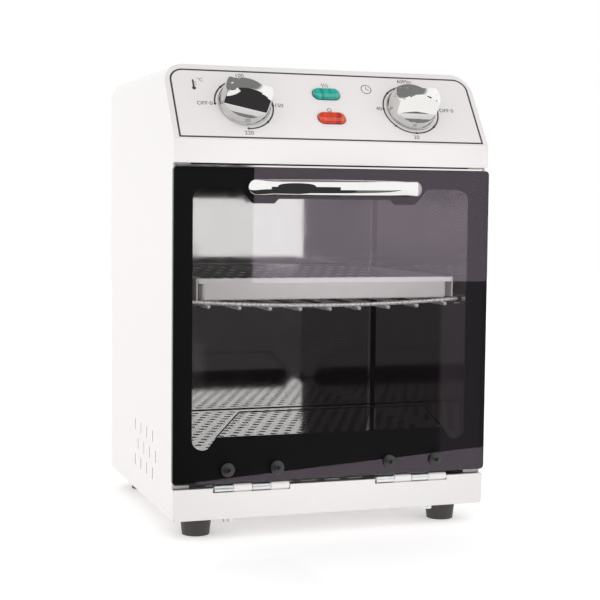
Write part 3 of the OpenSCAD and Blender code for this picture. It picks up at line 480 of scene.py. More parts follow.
chromePlate = makeFinish("chromePlate", (0.66, 0.655, 0.645), (0.69, 0.685, 0.675), (0.015, 0.05),
                         (120, even, 3.0), steel, marks=0.2)
zincSteel = makeFinish("zincSteel", (0.62, 0.63, 0.64), (0.74, 0.75, 0.76), (0.28, 0.42),
                       (500, even, 4.0), steel, bump=0.01, marks=0.5, edge=0.2)
blackSteel = makeFinish("blackSteel", (0.028, 0.028, 0.03), (0.05, 0.05, 0.052), (0.26, 0.42),
                        (700, even, 4.0), {"Metallic": 0.6}, bump=0.008, marks=0.6, edge=0.25)
heaterSheath = makeFinish("heaterSheath", (0.10, 0.085, 0.08), (0.19, 0.15, 0.12), (0.42, 0.62),
                          (220, (1, 0.4, 1), 5.0), {"Metallic": 0.8}, bump=0.02)
copperTube = makeFinish("copperTube", (0.62, 0.31, 0.19), (0.50, 0.24, 0.15), (0.22, 0.40),
                        (420, (1, 0.2, 1), 4.0), steel, bump=0.008, marks=0.4)
blackRubber = makeFinish("blackRubber", (0.030, 0.029, 0.028), (0.046, 0.044, 0.042), (0.58, 0.75),
                         (900, even, 5.0), bump=0.03, dust=0.15, edge=0.8)
blackPlastic = makeFinish("blackPlastic", (0.022, 0.022, 0.023), (0.032, 0.032, 0.033), (0.34, 0.46),
                          (1200, even, 3.0), bump=0.012, edge=0.4)
whiteCeramic = makeFinish("whiteCeramic", (0.80, 0.77, 0.70), (0.86, 0.83, 0.77), (0.45, 0.60),
                          (500, even, 4.0), bump=0.02, edge=0.4)
mineralWool = makeFinish("mineralWool", (0.62, 0.55, 0.38), (0.78, 0.72, 0.56), (0.88, 0.98),
                         (420, (1, 1, 3), 8.0), bump=0.4, bumpScale=700, speck=0.4)
panelInk = makeFinish("panelInk", (0.040, 0.036, 0.036), (0.06, 0.056, 0.056), (0.35, 0.5),
                      (1500, even, 3.0), bump=0.002)
doorInk = makeFinish("doorInk", (0.0045, 0.0045, 0.005), (0.007, 0.007, 0.0075), (0.45, 0.6),
                     (800, even, 3.0), {"Specular IOR Level": 0.15})
glassEdge = makeFinish("glassEdge", (0.012, 0.016, 0.015), (0.022, 0.030, 0.028), (0.12, 0.3),
                       (300, even, 4.0), bump=0.004)
sealRubber = makeFinish("sealRubber", (0.028, 0.028, 0.03), (0.042, 0.042, 0.044), (0.55, 0.7),
                        (1100, even, 4.0), bump=0.02, edge=0.5)
controlHousing = makeFinish("controlHousing", (0.52, 0.53, 0.54), (0.62, 0.63, 0.64), (0.35, 0.5),
                            (300, (1, 0.2, 1), 4.0), steel, bump=0.01, marks=0.5, edge=0.3)

glassLooks = dict(  # mirror of a smoky tint where it reflects, clear where it is seen through
    tint=(0.74, 0.62, 0.74, 1), secondTint=(0.77, 0.65, 0.77, 1), tintScale=6.0, scratches=0.1,
    smearRough=0.03, ior=1.5, straightOn=0.03,  # straightOn adds to the share that reflects
    viewport=(0.2, 0.2, 0.22, 0.3),
)


def makeClearGlass():
    g = glassLooks
    glass = bpy.data.materials.new("clearGlass")
    glass.use_nodes = True
    tree = glass.node_tree
    shader = tree.nodes["Principled BSDF"]
    shader.inputs["Metallic"].default_value = 1.0
    tint = placeGroup(tree, grainGroup, Scale=g["tintScale"], Detail=2.0, Low=0.3, High=0.7)
    colour = tree.nodes.new("ShaderNodeMix")
    colour.data_type = "RGBA"
    colour.inputs["A"].default_value = g["tint"]
    colour.inputs["B"].default_value = g["secondTint"]
    tree.links.new(tint, colour.inputs["Factor"])
    tree.links.new(colour.outputs["Result"], shader.inputs["Base Color"])
    marks = placeGroup(tree, handlingGroup, Scratches=g["scratches"])
    tree.links.new(mathNode(tree, "MULTIPLY", marks, g["smearRough"]), shader.inputs["Roughness"])
    edgeOn = tree.nodes.new("ShaderNodeFresnel")
    edgeOn.inputs["IOR"].default_value = g["ior"]
    reflecting = mathNode(tree, "ADD", edgeOn.outputs[0], g["straightOn"], True)
    tree.links.new(reflecting, shader.inputs["Alpha"])
    glass.diffuse_color = g["viewport"]
    return glass


lensLooks = dict(
    rough=0.12, coat=0.6, coatRough=0.03,
    # scale, stretch and levels of the painted light and shade stripes across each lens
    ribShineScale=160.0, ribShineStretch=(1.6, 0.3, 0.3), ribShineLow=0.35, ribShineHigh=0.65,
)


def makeLens(name, deep, litTone, glow):
    look = lensLooks
    lens = bpy.data.materials.new(name)
    lens.use_nodes = True
    tree = lens.node_tree
    shader = tree.nodes["Principled BSDF"]
    shader.inputs["Roughness"].default_value = look["rough"]
    shader.inputs["Coat Weight"].default_value = look["coat"]
    shader.inputs["Coat Roughness"].default_value = look["coatRough"]
    # painted light: stretched noise mixes a deep copy and a lit copy of one lens colour into stripes,
    # standing in for light bent by the lens's ribs; the glow carries the stripes too
    ribShine = placeGroup(tree, grainGroup, Scale=look["ribShineScale"], Stretch=look["ribShineStretch"],
                      Detail=1.0, Low=look["ribShineLow"], High=look["ribShineHigh"])
    colour = tree.nodes.new("ShaderNodeMix")
    colour.data_type = "RGBA"
    colour.inputs["A"].default_value = (*deep, 1)
    colour.inputs["B"].default_value = (*litTone, 1)
    tree.links.new(ribShine, colour.inputs["Factor"])
    tree.links.new(colour.outputs["Result"], shader.inputs["Base Color"])
    tree.links.new(colour.outputs["Result"], shader.inputs["Emission Color"])
    shader.inputs["Emission Strength"].default_value = glow
    return lens


clearGlass = makeClearGlass()
# each lens gets a deep tone and a lit tone, its one colour in painted shade and painted light
greenLens = makeLens("greenLens", (0.0, 0.20, 0.16), (0.015, 0.42, 0.34), 0.12)
redLens = makeLens("redLens", (0.36, 0.015, 0.006), (0.62, 0.05, 0.012), 0.10)

finishOfNode = {
    whiteEnamel: ["outer_cover", "control_fascia", "base_pan", "rear_panel", "hinge_base_leaves"],
    mirrorSteel: ["chamber_liner", "rack_ledges"],
    plateSteel: ["floor_plate"],
    traySteel: ["instrument_tray"],
    insertSteel: ["tray_insert"],
    wireSteel: ["wire_rack", "hinge_pins"],
    zincSteel: ["control_shelf", "handle_screws", "hinge_door_leaves", "hinge_base_screws",
                "catch_plate", "thermostat_shaft", "timer_shaft", "timer_bell", "control_screws",
                "rear_panel_screws", "foot_screws"],
    chromePlate: ["door_handle", "temperature_knob", "timer_knob"],
    blackSteel: ["door_screws", "catch_magnet"],
    heaterSheath: ["heating_element"],
    copperTube: ["sensing_bulb"],
    blackRubber: ["rubber_feet"],
    blackPlastic: ["cable_gland", "lamp_housings"],
    whiteCeramic: ["heater_bushings", "terminal_block", "overheat_cutout"],
    mineralWool: ["insulation_jacket"],
    sealRubber: ["door_seal"],
    controlHousing: ["thermostat", "timer"],
    clearGlass: ["door_glass"],
    greenLens: ["run_lamp_lens"],
    redLens: ["power_lamp_lens"],
}
for finish, names in finishOfNode.items():
    for nodeName in names:
        for slot in nodes[nodeName].material_slots:
            slot.material = finish
print("finishes on the frame's nodes")


# the print on the sloped panel

panelPrint = dict(
    lift=0.06,  # how far the ink stands on the paint
    lineWidth=1.35, halfWidth=115.8, low=2.3, high=62.3, cornerR=10.0,
    dialX=64.7, dialUp=32.0, arcR=21.6, arcWidth=1.15, arcSteps=80, dots=7, dotR=1.0,
    # text, place across and up the panel, height of a capital
    labels=[("OFF·0", -93.7, 32.2, 3.4), ("100", -63.7, 58.6, 3.4), ("150", -38.2, 32.1, 3.4),
            ("220", -65.0, 6.7, 3.4), ("°C", -94.3, 53.4, 3.0), ("60Min", 65.3, 58.9, 3.4),
            ("40", 39.3, 32.3, 3.4), ("20", 63.6, 6.6, 3.4), ("OFF·0", 93.8, 32.4, 3.4)],
)
signSizes = dict(  # the small signs beside the dials and over the lamps
    fineLine=0.45,
    bulb=(-99.6, 45.6), bulbR=1.5, stem=[(-98.9, 52.8), (-99.6, 53.6), (-100.3, 52.8)],
    markFrom=-98.4, markTo=-97.3, markUp=48.4, markStep=1.5, markWidth=0.4,
    clock=(32.8, 50.0), clockR=3.9, clockWidth=0.55,
    hands=[(32.8, 52.4), (32.8, 50.0), (34.8, 49.2)], handWidth=0.5,
    waveX=0.4, wavePitch=1.9, waveSwing=0.45, waveUp=50.6, waveStep=0.34,
    power=(-0.4, 29.4), powerR=1.6, powerBar=[(-0.4, 29.6), (-0.4, 31.6)],
)


def signShapes():
    g = signSizes
    shapes = [[arcPath(*g["bulb"], g["bulbR"], 118, 422, 24) + g["stem"]]]  # thermometer
    for i in range(3):
        up = g["markUp"] + i * g["markStep"]
        shapes.append(stroke([(g["markFrom"], up), (g["markTo"], up)], g["markWidth"]))
    shapes.append(stroke(arcPath(*g["clock"], g["clockR"], 0, 350, 35), g["clockWidth"], closed=True))
    shapes.append(stroke(g["hands"], g["handWidth"]))
    for i in (-1, 0, 1):  # warm air over the upper lamp
        wave = [(g["waveX"] + i * g["wavePitch"] + g["waveSwing"] * math.sin(k * math.pi / 5),
                 g["waveUp"] + k * g["waveStep"]) for k in range(11)]
        shapes.append(stroke(wave, g["fineLine"]))
    shapes.append(stroke(arcPath(*g["power"], g["powerR"], 125, 415, 26), g["fineLine"]))
    shapes.append(stroke(g["powerBar"], g["fineLine"]))
    return shapes


def makePanelPrint():
    p = panelPrint
    shapes = [stroke(roundedLoop(-p["halfWidth"], p["low"], p["halfWidth"], p["high"],
                                 (p["cornerR"], p["cornerR"], 0, 0)), p["lineWidth"], closed=True)]
    for x, start, end in ((-p["dialX"], 180, -90), (p["dialX"], 0, -270)):
        scale = arcPath(x, p["dialUp"], p["arcR"], start, end, p["arcSteps"])
        shapes.append(stroke(scale, p["arcWidth"]))
        shapes += [dot(*spot, p["dotR"])
                   for spot in arcPath(x, p["dialUp"], p["arcR"], start, end, p["dots"] - 1)]
    mesh = filledMesh(shapes + signShapes(), panelPlace(out=p["lift"]), letters=p["labels"])
    return addPiece("panelPrint", mesh, panelInk, "cabinet", smooth=False)


makePanelPrint()
print("panel print made")


# the glass door and the print on its inner face

doorSizes = dict(
    width=242.0, low=26.0, high=250.7,  # heights from the underside of the body
    cornerR=3.0, thickness=4.0, groundEdge=0.5, edgeEase=0.3,
    printDepth=0.06, printInset=0.1, lineWidth=0.9, lineOverlap=0.4,
    windowX=106.0, windowTop=236.4, topR=9.0,
    tab=((72.8, 236.4), (62.4, 225.0), (46.2, 225.0), (42.8, 228.4)),  # print behind the handle
    bandTop=58.7, bandX=88.0, lobeLow=49.6, lobeR=8.0,
    lineX=71.5, lineUp=76.0,
)


def windowLoop():
    d = doorSizes
    right = [(0.0, d["tab"][3][1])] + list(reversed(d["tab"]))
    right += arcPath(d["windowX"] - d["topR"], d["windowTop"] - d["topR"], d["topR"], 90, 0, 10)
    right += arcPath(d["windowX"] - d["lobeR"], d["lobeLow"] + d["lobeR"], d["lobeR"], 0, -120, 12)
    right += [(d["bandX"], d["bandTop"])]
    left = [(-x, y) for x, y in reversed(right[1:])]
    return right + left


def makeDoor():
    d = doorSizes
    left, low, right, high = -d["width"] / 2, d["low"], d["width"] / 2, d["high"]
    g, t = d["groundEdge"], d["thickness"]
    ease = g * d["edgeEase"]
    profile = ((g, 0.0), (ease, ease), (0, g), (0, t - g), (ease, t - ease), (g, t))
    points = []
    for inset, z in profile:
        loop = roundedLoop(left + inset, low + inset, right - inset, high - inset,
                           (d["cornerR"] - inset,) * 4)
        points += [(x, y, z) for x, y in loop]
    mesh = meshFrom(points, tubeFaces(len(profile), len(loop)), doorPlace(), crease=20)
    pane = addPiece("doorPane", mesh, clearGlass, "door", replaces=["door_glass"])
    pane.data.materials.append(glassEdge)
    for face in pane.data.polygons:
        face.material_index = 1 if len(face.vertices) == 4 else 0  # the ground edge is made of quads
    g = d["printInset"]
    inset = roundedLoop(left + g, low + g, right - g, high - g, (d["cornerR"],) * 4)
    sheet = filledMesh([[inset, windowLoop()]], doorPlace(d["printDepth"]))
    addPiece("doorPrint", sheet, doorInk, "door", smooth=False)
    over = d["lineOverlap"]
    line = [(-d["bandX"] - over, d["bandTop"] - over), (-d["lineX"], d["lineUp"]),
            (d["lineX"], d["lineUp"]), (d["bandX"] + over, d["bandTop"] - over)]
    mesh = filledMesh([stroke(line, d["lineWidth"])], doorPlace(d["printDepth"]))
    addPiece("doorPrintLine", mesh, doorInk, "door", smooth=False)


makeDoor()
print("door pane and print made")


# the shelf ledges, the wire rack, the tray and its perforated insert

rackSizes = dict(
    ledgeZ=167.3, ledgeX=98.5, wallX=106.0, ledgeT=1.0, ledgeLeg=10.0, ledgeFront=-91.3,
    ledgeBack=83.0, bendR=1.2, stopH=8.0, stopLow=1.0, stopGap=0.1,
    wireR=1.5, crossX=104.7, crossZ=169.53, longZ=167.03, sag=3.7, front=-90.0, back=78.0,
    crossInset=6.0, crossSteps=60, wires=9, pitch=23.0,
)
traySizes = dict(
    middleX=-1.8, front=-90.0, back=76.0, width=199.0, low=170.7, high=186.6, sheet=0.9,
    basinHalf=94.6, cornerR=2.2, sharpR=0.4, bendR=1.6, lipR=0.8, lipInset=1.3, lipOver=0.1,
    skirtR=0.8, skirtLift=0.6, hem=0.8, hemHigh=3.8, hemLean=0.3, hemUnder=0.4, hemDrop=0.5,
)
insertSizes = dict(
    width=183.4, front=-19.2, low=171.9, slope=7.3, length=98.0, foldLength=94.2, fold=4.0,
    sheet=1.0, bendR=0.9, relief=2.5,
    holeR=2.8, pitch=10.5, rowPitch=11.4, columns=8, rowCount=3, reach=84.9,
)
foldCrease = 40  # degrees; the bends of the folded sheets are rounder than this


def wireSag(x):  # how far the loaded shelf hangs at x, along a shallow arc
    r = rackSizes
    curve = r["crossX"] ** 2 / (2 * r["sag"]) + r["sag"] / 2
    return r["sag"] - (curve - math.sqrt(curve ** 2 - x * x))


def makeLedges():
    r = rackSizes
    t = r["ledgeT"]
    long = r["ledgeBack"] - r["ledgeFront"]
    middle = (r["ledgeBack"] + r["ledgeFront"]) / 2
    parts = []
    for s in (-1, 1):
        wall, top = s * (r["wallX"] - t / 2), r["ledgeZ"] - t / 2
        profile = [(wall, r["ledgeZ"] - r["ledgeLeg"]), (wall, top), (s * r["ledgeX"], top)]
        parts.append(filledMesh([stroke(bent(profile, r["bendR"]), t)], alongY(y=middle),
                                thickness=long, crease=foldCrease))
        ends = sorted((s * r["ledgeX"], s * (r["wallX"] - r["stopGap"])))
        stop = roundedLoop(ends[0], r["ledgeZ"] - r["stopLow"], ends[1],
                           r["ledgeZ"] + r["stopH"] - r["stopLow"], (r["bendR"],) * 4, 4)
        parts.append(filledMesh([[stop]], alongY(y=r["ledgeBack"] - t / 2), thickness=t,
                                crease=foldCrease))
    addPiece("rackLedges", joined(parts), mirrorSteel, "cabinet", replaces=["rack_ledges"])


def makeRack():
    r = rackSizes
    parts = []
    for y in (r["front"] + r["crossInset"], r["back"] - r["crossInset"]):
        xs = [-r["crossX"] + 2 * r["crossX"] * k / r["crossSteps"] for k in range(r["crossSteps"] + 1)]
        parts.append(wireMesh([(x, y, r["crossZ"] - wireSag(x)) for x in xs], r["wireR"]))
    for i in range(r["wires"]):
        x = (i - (r["wires"] - 1) / 2) * r["pitch"]
        z = r["longZ"] - wireSag(x)
        parts.append(wireMesh([(x, r["front"], z), (x, 0, z), (x, r["back"], z)], r["wireR"]))
    addPiece("wireRack", joined(parts), wireSteel, "rack", replaces=["wire_rack"])


def makeTray():
    d = traySizes
    t, low, high = d["sheet"], d["low"], d["high"]
    middleY = (d["front"] + d["back"]) / 2
    halfX, halfY = d["basinHalf"], (d["back"] - d["front"]) / 2 - d["hem"]
    lipX, lipY = d["width"] / 2 - d["lipInset"], halfY + d["lipOver"]
    inner, outer, lip = d["bendR"] - t, d["bendR"], d["lipR"]
    quarter = [math.pi / 2 * k / 5 for k in range(6)]
    # the basin's section as half width, half depth and height: out from the floor, up, and back in
    stops = [(halfX - outer * (1 - math.sin(a)), halfY - outer * (1 - math.sin(a)),
              low + outer * (1 - math.cos(a))) for a in quarter]
    stops += [(halfX, halfY, high - t), (lipX, lipY, high - t), (lipX, lipY, high)]
    stops += [(halfX - t + lip * (1 - math.sin(a)), halfY - t + lip * (1 - math.sin(a)),
               high - lip * (1 - math.cos(a))) for a in quarter]
    stops += [(halfX - t - inner * (1 - math.cos(a)), halfY - t - inner * (1 - math.cos(a)),
               low + t + inner * (1 - math.sin(a))) for a in quarter]
    points = []
    for x, y, z in stops:
        corner = max(d["sharpR"], d["cornerR"] - max(0.0, halfX - x)) if x <= halfX else d["sharpR"]
        points += [(px + d["middleX"], py + middleY, z)
                   for px, py in roundedLoop(-x, -y, x, y, (corner,) * 4, 5)]
    parts = [meshFrom(points, tubeFaces(len(stops), len(points) // len(stops)), crease=35)]
    for s in (-1, 1):
        skirtX = s * (d["width"] - t) / 2
        skirt = [(s * lipX, high - t / 2), (skirtX, high - t / 2), (skirtX, low + d["skirtLift"])]
        parts.append(filledMesh([stroke(bent(skirt, d["skirtR"]), t)],
                                alongY(x=d["middleX"], y=middleY),
                                thickness=d["back"] - d["front"], crease=foldCrease))
        hemY = s * (halfY + d["hem"] / 2)
        hem = [(hemY - s * d["hemLean"], high - d["hemUnder"]), (hemY, high - d["hemDrop"]),
               (hemY, high - d["hemHigh"])]
        parts.append(filledMesh([stroke(hem, d["hem"])], alongX(x=d["middleX"], y=middleY),
                                thickness=d["width"] - 2 * d["lipInset"], crease=foldCrease))
    addPiece("instrumentTray", joined(parts), traySteel, "tray", replaces=["instrument_tray"])


def makeInsert():
    d = insertSizes
    t, w, f, g = d["sheet"], d["width"], d["fold"], d["relief"]
    place = Matrix.Translation(Vector((traySizes["middleX"] - w / 2, d["front"], d["low"])) * mm)
    place = place @ Matrix.Rotation(math.radians(d["slope"]), 4, "X")
    holes = []
    for row in range(-d["rowCount"], d["rowCount"] + 1):
        for column in range(-d["columns"] - 1, d["columns"] + 1):
            x = (column + (0 if row % 2 == 0 else 0.5)) * d["pitch"]
            if abs(x) <= d["reach"]:
                holes.append(arcPath(w / 2 + x, d["length"] / 2 + row * d["rowPitch"], d["holeR"],
                                     0, -345, 23))
    face = Matrix.Translation(Vector((0, 0, f - t / 2)) * mm)
    plate = [[(g, g), (w - g, g), (w - g, d["length"]), (g, d["length"])]] + holes
    parts = [filledMesh([plate], place @ face, thickness=t, crease=foldCrease)]
    front = bent([(t / 2, 0.0), (t / 2, f - t / 2), (g, f - t / 2)], d["bendR"])
    parts.append(filledMesh([stroke(front, t)], place @ alongX(x=w / 2), thickness=w - 2 * g,
                            crease=foldCrease))
    for s, x in ((1, 0.0), (-1, w)):  # the folded edges left and right, each with a flat end
        side = bent([(x + s * t / 2, 0.0), (x + s * t / 2, f - t / 2), (x + s * g, f - t / 2)],
                    d["bendR"])
        parts.append(filledMesh([stroke(side, t)], place @ alongY(y=(g + d["foldLength"]) / 2),
                                thickness=d["foldLength"] - g, crease=foldCrease))
        low, high = min(x, x + s * g), max(x, x + s * g)
        ear = [(low, d["foldLength"]), (high, d["foldLength"]), (high, d["length"]), (low, d["length"])]
        parts.append(filledMesh([[ear]], place @ face, thickness=t, crease=foldCrease))
    addPiece("trayInsert", joined(parts), insertSteel, "insert", replaces=["tray_insert"])


makeLedges()
makeRack()
makeTray()
makeInsert()
print("ledges, rack, tray and insert made")


# the bowed pull handle

handleSizes = dict(
    width=133.0, height=11.6, depth=9.0, reach=23.0, up=251.5, squareness=2.8,
    steps=96, endSteps=18, around=56,
    tipAt=0.9995, tipShare=0.03,  # the last ring, as shares of the end's radius
)


def makeHandle():
    h = handleSizes
    glass = cabinet["glassFront"]
    outerR = ((h["width"] / 2) ** 2 + h["reach"] ** 2) / (2 * h["reach"])
    centreY = glass - h["reach"] + outerR
    endR = h["height"] / 2
    straight = h["width"] / 2 - endR
    stops = [(-straight + 2 * straight * k / h["steps"], endR) for k in range(1, h["steps"])]
    quarter = [math.pi / 2 * k / h["endSteps"] for k in range(h["endSteps"])]
    ends = [(straight + endR * math.sin(a), endR * math.cos(a)) for a in quarter]
    ends.append((straight + endR * h["tipAt"], endR * h["tipShare"]))
    stops = [(-x, tall) for x, tall in reversed(ends)] + stops + ends
    points = []
    for x, tall in stops:
        front = centreY - math.sqrt(outerR ** 2 - x * x)
        inner = (outerR - h["depth"]) ** 2 - x * x
        back = min(glass, centreY - math.sqrt(inner)) if inner > 0 else glass
        for i in range(h["around"]):
            a = 2 * math.pi * i / h["around"]
            c, s = math.cos(a), math.sin(a)
            power = 2 / h["squareness"]
            side = math.copysign(abs(c) ** power, c)
            rise = math.copysign(abs(s) ** power, s)
            points.append((x, (front + back) / 2 - side * (back - front) / 2, h["up"] + rise * tall))
    mesh = meshFrom(points, tubeFaces(len(stops), h["around"]), weld=0.003, crease=60)
    addPiece("pullHandle", mesh, chromePlate, "door", replaces=["door_handle"])


makeHandle()
print("handle made")


# the two dial knobs

knobSizes = dict(
    gap=0.8, height=21.0, footR=19.3, wallR=18.9, topR=16.6, domeR=36.0, flangeHigh=1.4,
    footDraft=0.01, footLip=3.0,
    gripHalf=3.2, taper=3.0, waist=0.010, creaseAt=9.6, hollow=0.28, skirt=7.0,
    dimpleAt=13.5, dimpleR=0.9, dimpleDeep=0.6,
    rows=60, gripColumns=6, wallColumns=10, skirtColumns=14, rimRings=7,
    edge=0.45, edgeFrom=30, edgeSteps=4, crease=50,  # the rounding of its edges
    temperatureAt=165, timerAt=0,  # where each pointer stands at rest, in degrees
)


def knobWallR(z):  # radius of the outer wall, which leans in towards the top
    n = knobSizes
    return n["wallR"] - (n["wallR"] - n["topR"]) * (z - n["flangeHigh"]) / (n["height"] - n["flangeHigh"])


def knobGrip(x):
    n = knobSizes  # narrowest in the middle, wider at the pointer's end than at the other
    return n["gripHalf"] + x * math.tan(math.radians(n["taper"])) * 0.5 + n["waist"] * x * x


def knobHeight(x, y):  # the knob's upper face
    n = knobSizes
    dome = n["height"] - n["domeR"] + math.sqrt(max(0.0, n["domeR"] ** 2 - x * x - y * y))
    grip = knobGrip(x)
    if abs(y) > grip + 1e-6:  # down the hollowed wall to the flat skirt
        t = min(1.0, (abs(y) - grip) / (n["creaseAt"] - grip))
        return min(dome, n["height"] - (n["height"] - n["skirt"]) * (t + n["hollow"] * t * (1 - t)))
    off = math.hypot(x - n["dimpleAt"], y)
    return dome - n["dimpleDeep"] * math.exp(-(off / n["dimpleR"]) ** 2)


def knobColumns():
    # how far out each column lies, as (share of the grip, share of the wall, share of the skirt)
    n = knobSizes
    columns = [(k / n["gripColumns"], 0.0, 0.0) for k in range(n["gripColumns"] + 1)]
    columns += [(1.0, k / n["wallColumns"], 0.0) for k in range(1, n["wallColumns"] + 1)]
    return columns + [(1.0, 1.0, k / n["skirtColumns"]) for k in range(1, n["skirtColumns"] + 1)]


def knobAcross(x, column):  # the column's distance from the grip's middle line
    n = knobSizes
    grip = knobGrip(x)
    rim = knobWallR(n["skirt"])
    first = math.asin(n["creaseAt"] / rim)
    across = grip * column[0] + (n["creaseAt"] - grip) * column[1]
    if column[2]:
        across = rim * math.sin(first + (math.pi / 2 - first) * column[2])
    return across


def knobReach(column, way, limit=22.0, halvings=40):
    # how far a column runs before it meets the outer wall, found by halving
    low, high = 0.0, limit
    for _ in range(halvings):
        x = way * (low + high) / 2
        y = knobAcross(x, column)
        inside = math.hypot(x, y) < knobWallR(knobHeight(x, y))
        low, high = ((low + high) / 2, high) if inside else (low, (low + high) / 2)
    return way * low


def makeKnob(name, across, angle, body, node):
    n = knobSizes
    half = knobColumns()
    columns = [(column, -1) for column in reversed(half[1:])] + [(column, 1) for column in half]
    points, faces = [], []
    wide = n["rows"] + 1
    for column, side in columns:
        x0, x1 = knobReach(column, -1), knobReach(column, 1)
        for j in range(wide):
            x = x0 + (x1 - x0) * j / n["rows"]
            y = side * knobAcross(x, column)
            points.append((x, y, knobHeight(x, y)))
    for i in range(len(columns) - 1):
        for j in range(n["rows"]):
            a = i * wide + j
            faces.append((a, a + 1, a + 1 + wide, a + wide))
    rim = [i * wide + wide - 1 for i in range(len(columns))]
    rim += [i * wide for i in reversed(range(len(columns)))]
    count = len(rim)
    before = rim
    # down the outer wall as shares of its height, then the foot as (radius, height)
    walls = [(k / n["rimRings"], None) for k in range(1, n["rimRings"] + 1)]
    walls += [(None, (n["footR"], n["flangeHigh"])), (None, (n["footR"] - n["footDraft"], 0.0)),
              (None, (n["footR"] - n["footLip"], 0.0))]
    for share, foot in walls:
        ring = []
        for index in rim:
            x, y, z = points[index]
            a = math.atan2(y, x)
            if foot is None:
                high = z + (n["flangeHigh"] - z) * share
                r = knobWallR(high)
            else:
                r, high = foot
            ring.append(len(points))
            points.append((r * math.cos(a), r * math.sin(a), high))
        faces += [(before[i], before[(i + 1) % count], ring[(i + 1) % count], ring[i])
                  for i in range(count)]
        before = ring
    faces.append(tuple(reversed(before)))
    mesh = meshFrom(points, faces, weld=0.02)
    work = bmesh.new()
    work.from_mesh(mesh)
    sharp = [e for e in work.edges
             if len(e.link_faces) == 2 and e.calc_face_angle(0.0) > math.radians(n["edgeFrom"])
             and all(v.co.z > 0.2 * mm for v in e.verts)]  # the foot's lower edge stays sharp
    bmesh.ops.bevel(work, geom=sharp, offset=n["edge"] * mm, segments=n["edgeSteps"], profile=0.5,
                    affect="EDGES", clamp_overlap=True)
    work.to_mesh(mesh)
    work.free()
    mesh.set_sharp_from_angle(angle=math.radians(n["crease"]))
    mesh.transform(panelPlace(across, panelPrint["dialUp"], n["gap"], angle))
    return addPiece(name, mesh, chromePlate, body, replaces=[node])


makeKnob("temperatureKnob", -panelPrint["dialX"], knobSizes["temperatureAt"],
         "temperature_dial", "temperature_knob")
makeKnob("timerKnob", panelPrint["dialX"], knobSizes["timerAt"], "timer_dial", "timer_knob")
print("knobs made")


# the two lamp lenses

lensSizes = dict(
    length=21.4, width=10.0, height=3.2, squareness=2.6, rings=14, around=96,
    upper=43.9, lower=21.7,  # heights up the panel
    # a thin black seat ring round each lens, which also paints shade at the lens's edge
    shadeSeat=0.35, shadeSeatHigh=0.3,
)


def makeLensCap(name, up, material, node):
    s = lensSizes
    half = (s["length"] - s["width"]) / 2
    rings = []
    for k in range(s["rings"] + 1):
        t = k / s["rings"]
        inward = 1 - math.cos(t * math.pi / 2)
        r = s["width"] / 2 * (1 - inward)
        z = s["height"] * (1 - (1 - inward) ** s["squareness"]) ** (1 / s["squareness"])
        ring = []
        for i in range(s["around"]):
            a = 2 * math.pi * i / s["around"] + math.pi / s["around"]
            x = half if math.cos(a) > 0 else -half
            ring.append((x + r * math.cos(a), r * math.sin(a), z))
        rings.append(ring)
    points = [p for ring in rings for p in ring]
    faces = ringFaces(len(rings), s["around"]) + [tuple(range(s["around"]))]
    mesh = meshFrom(points, faces, panelPlace(0, up, 0.0), weld=0.01, crease=60)
    addPiece(name, mesh, material, "cabinet", replaces=[node])
    # the black seat ring: partly a real seat, partly a dark part placed as painted shade along the lens's
    # edge
    reach = s["width"] / 2 + s["shadeSeat"] / 2
    shadeSeat = arcPath(half, 0, reach, -90, 90, 24) + arcPath(-half, 0, reach, 90, 270, 24)
    ring = filledMesh([stroke(shadeSeat, s["shadeSeat"], closed=True)], panelPlace(0, up, s["shadeSeatHigh"] / 2),
                      thickness=s["shadeSeatHigh"], crease=foldCrease)
    addPiece(name.replace("Cap", "ShadeSeat"), ring, blackPlastic, "cabinet")


makeLensCap("runLampCap", lensSizes["upper"], greenLens, "run_lamp_lens")
makeLensCap("powerLampCap", lensSizes["lower"], redLens, "power_lamp_lens")
print("lamp lenses made")


# camera, light and floor

cameraSizes = dict(
    place=(-0.3555, -1.0591, 0.2432),
    yaw=18.90, pitch=-4.07, roll=0.61,  # degrees
    lens=84.85, sensor=36,
)


def makeCamera():
    c = cameraSizes
    yaw, pitch, roll = (math.radians(c[k]) for k in ("yaw", "pitch", "roll"))
    ahead = Vector((math.sin(yaw) * math.cos(pitch), math.cos(yaw) * math.cos(pitch), math.sin(pitch)))
    right = Vector((math.cos(yaw), -math.sin(yaw), 0))
    up = right.cross(ahead)
    side = right * math.cos(roll) + up * math.sin(roll)
    top = up * math.cos(roll) - right * math.sin(roll)
    place = Matrix((side, top, -ahead)).transposed().to_4x4()
    place.translation = Vector(c["place"])
    lens = bpy.data.cameras.new("camera")
    lens.lens = c["lens"]
    lens.sensor_width = c["sensor"]
    camera = bpy.data.objects.new("camera", lens)
    camera.matrix_world = place
    bpy.context.scene.collection.objects.link(camera)
    bpy.context.scene.camera = camera


studio = dict(
    # the room's light on matt surfaces, and what polished ones find around and overhead
    diffuseLevel=0.955, glossLevel=1.35, zenithLevel=0.28, zenithFrom=0.77, zenithTo=0.85,
    keyPower=0.8, keySize=0.9, keyPlace=(-0.9, -0.9, 1.3), keyAim=(0, 0, 0.17),
    # a soft pool through the glass onto the tray
    beamPower=34.0, beamAngle=11.5, beamBlend=0.7, beamSize=0.12,
    beamPlace=(-0.25, -1.25, 0.14), beamAim=(0.0, -0.09, 0.166),
    floorGlow=0.24, floorColour=(0.92, 0.915, 0.91), floorReach=3.0,
    floorFront=((-0.0313, -0.3117), (0.2653, -0.3995)), floorCorner=(-0.05, -0.16),
    # dark cards in front, which only polished surfaces find
    roomLevel=0.050, dimLevel=0.22, cardTint=(1.0, 0.96, 0.97, 1),
    cardY=-1.100, lowCardTop=0.121, lowCardDepth=6.0, dimFrom=0.543,
    sideCard=(-0.900, 0.243, 0.300), archCard=(-0.770, -0.107, 0.900),  # left, right, top
    archSteps=24,
)


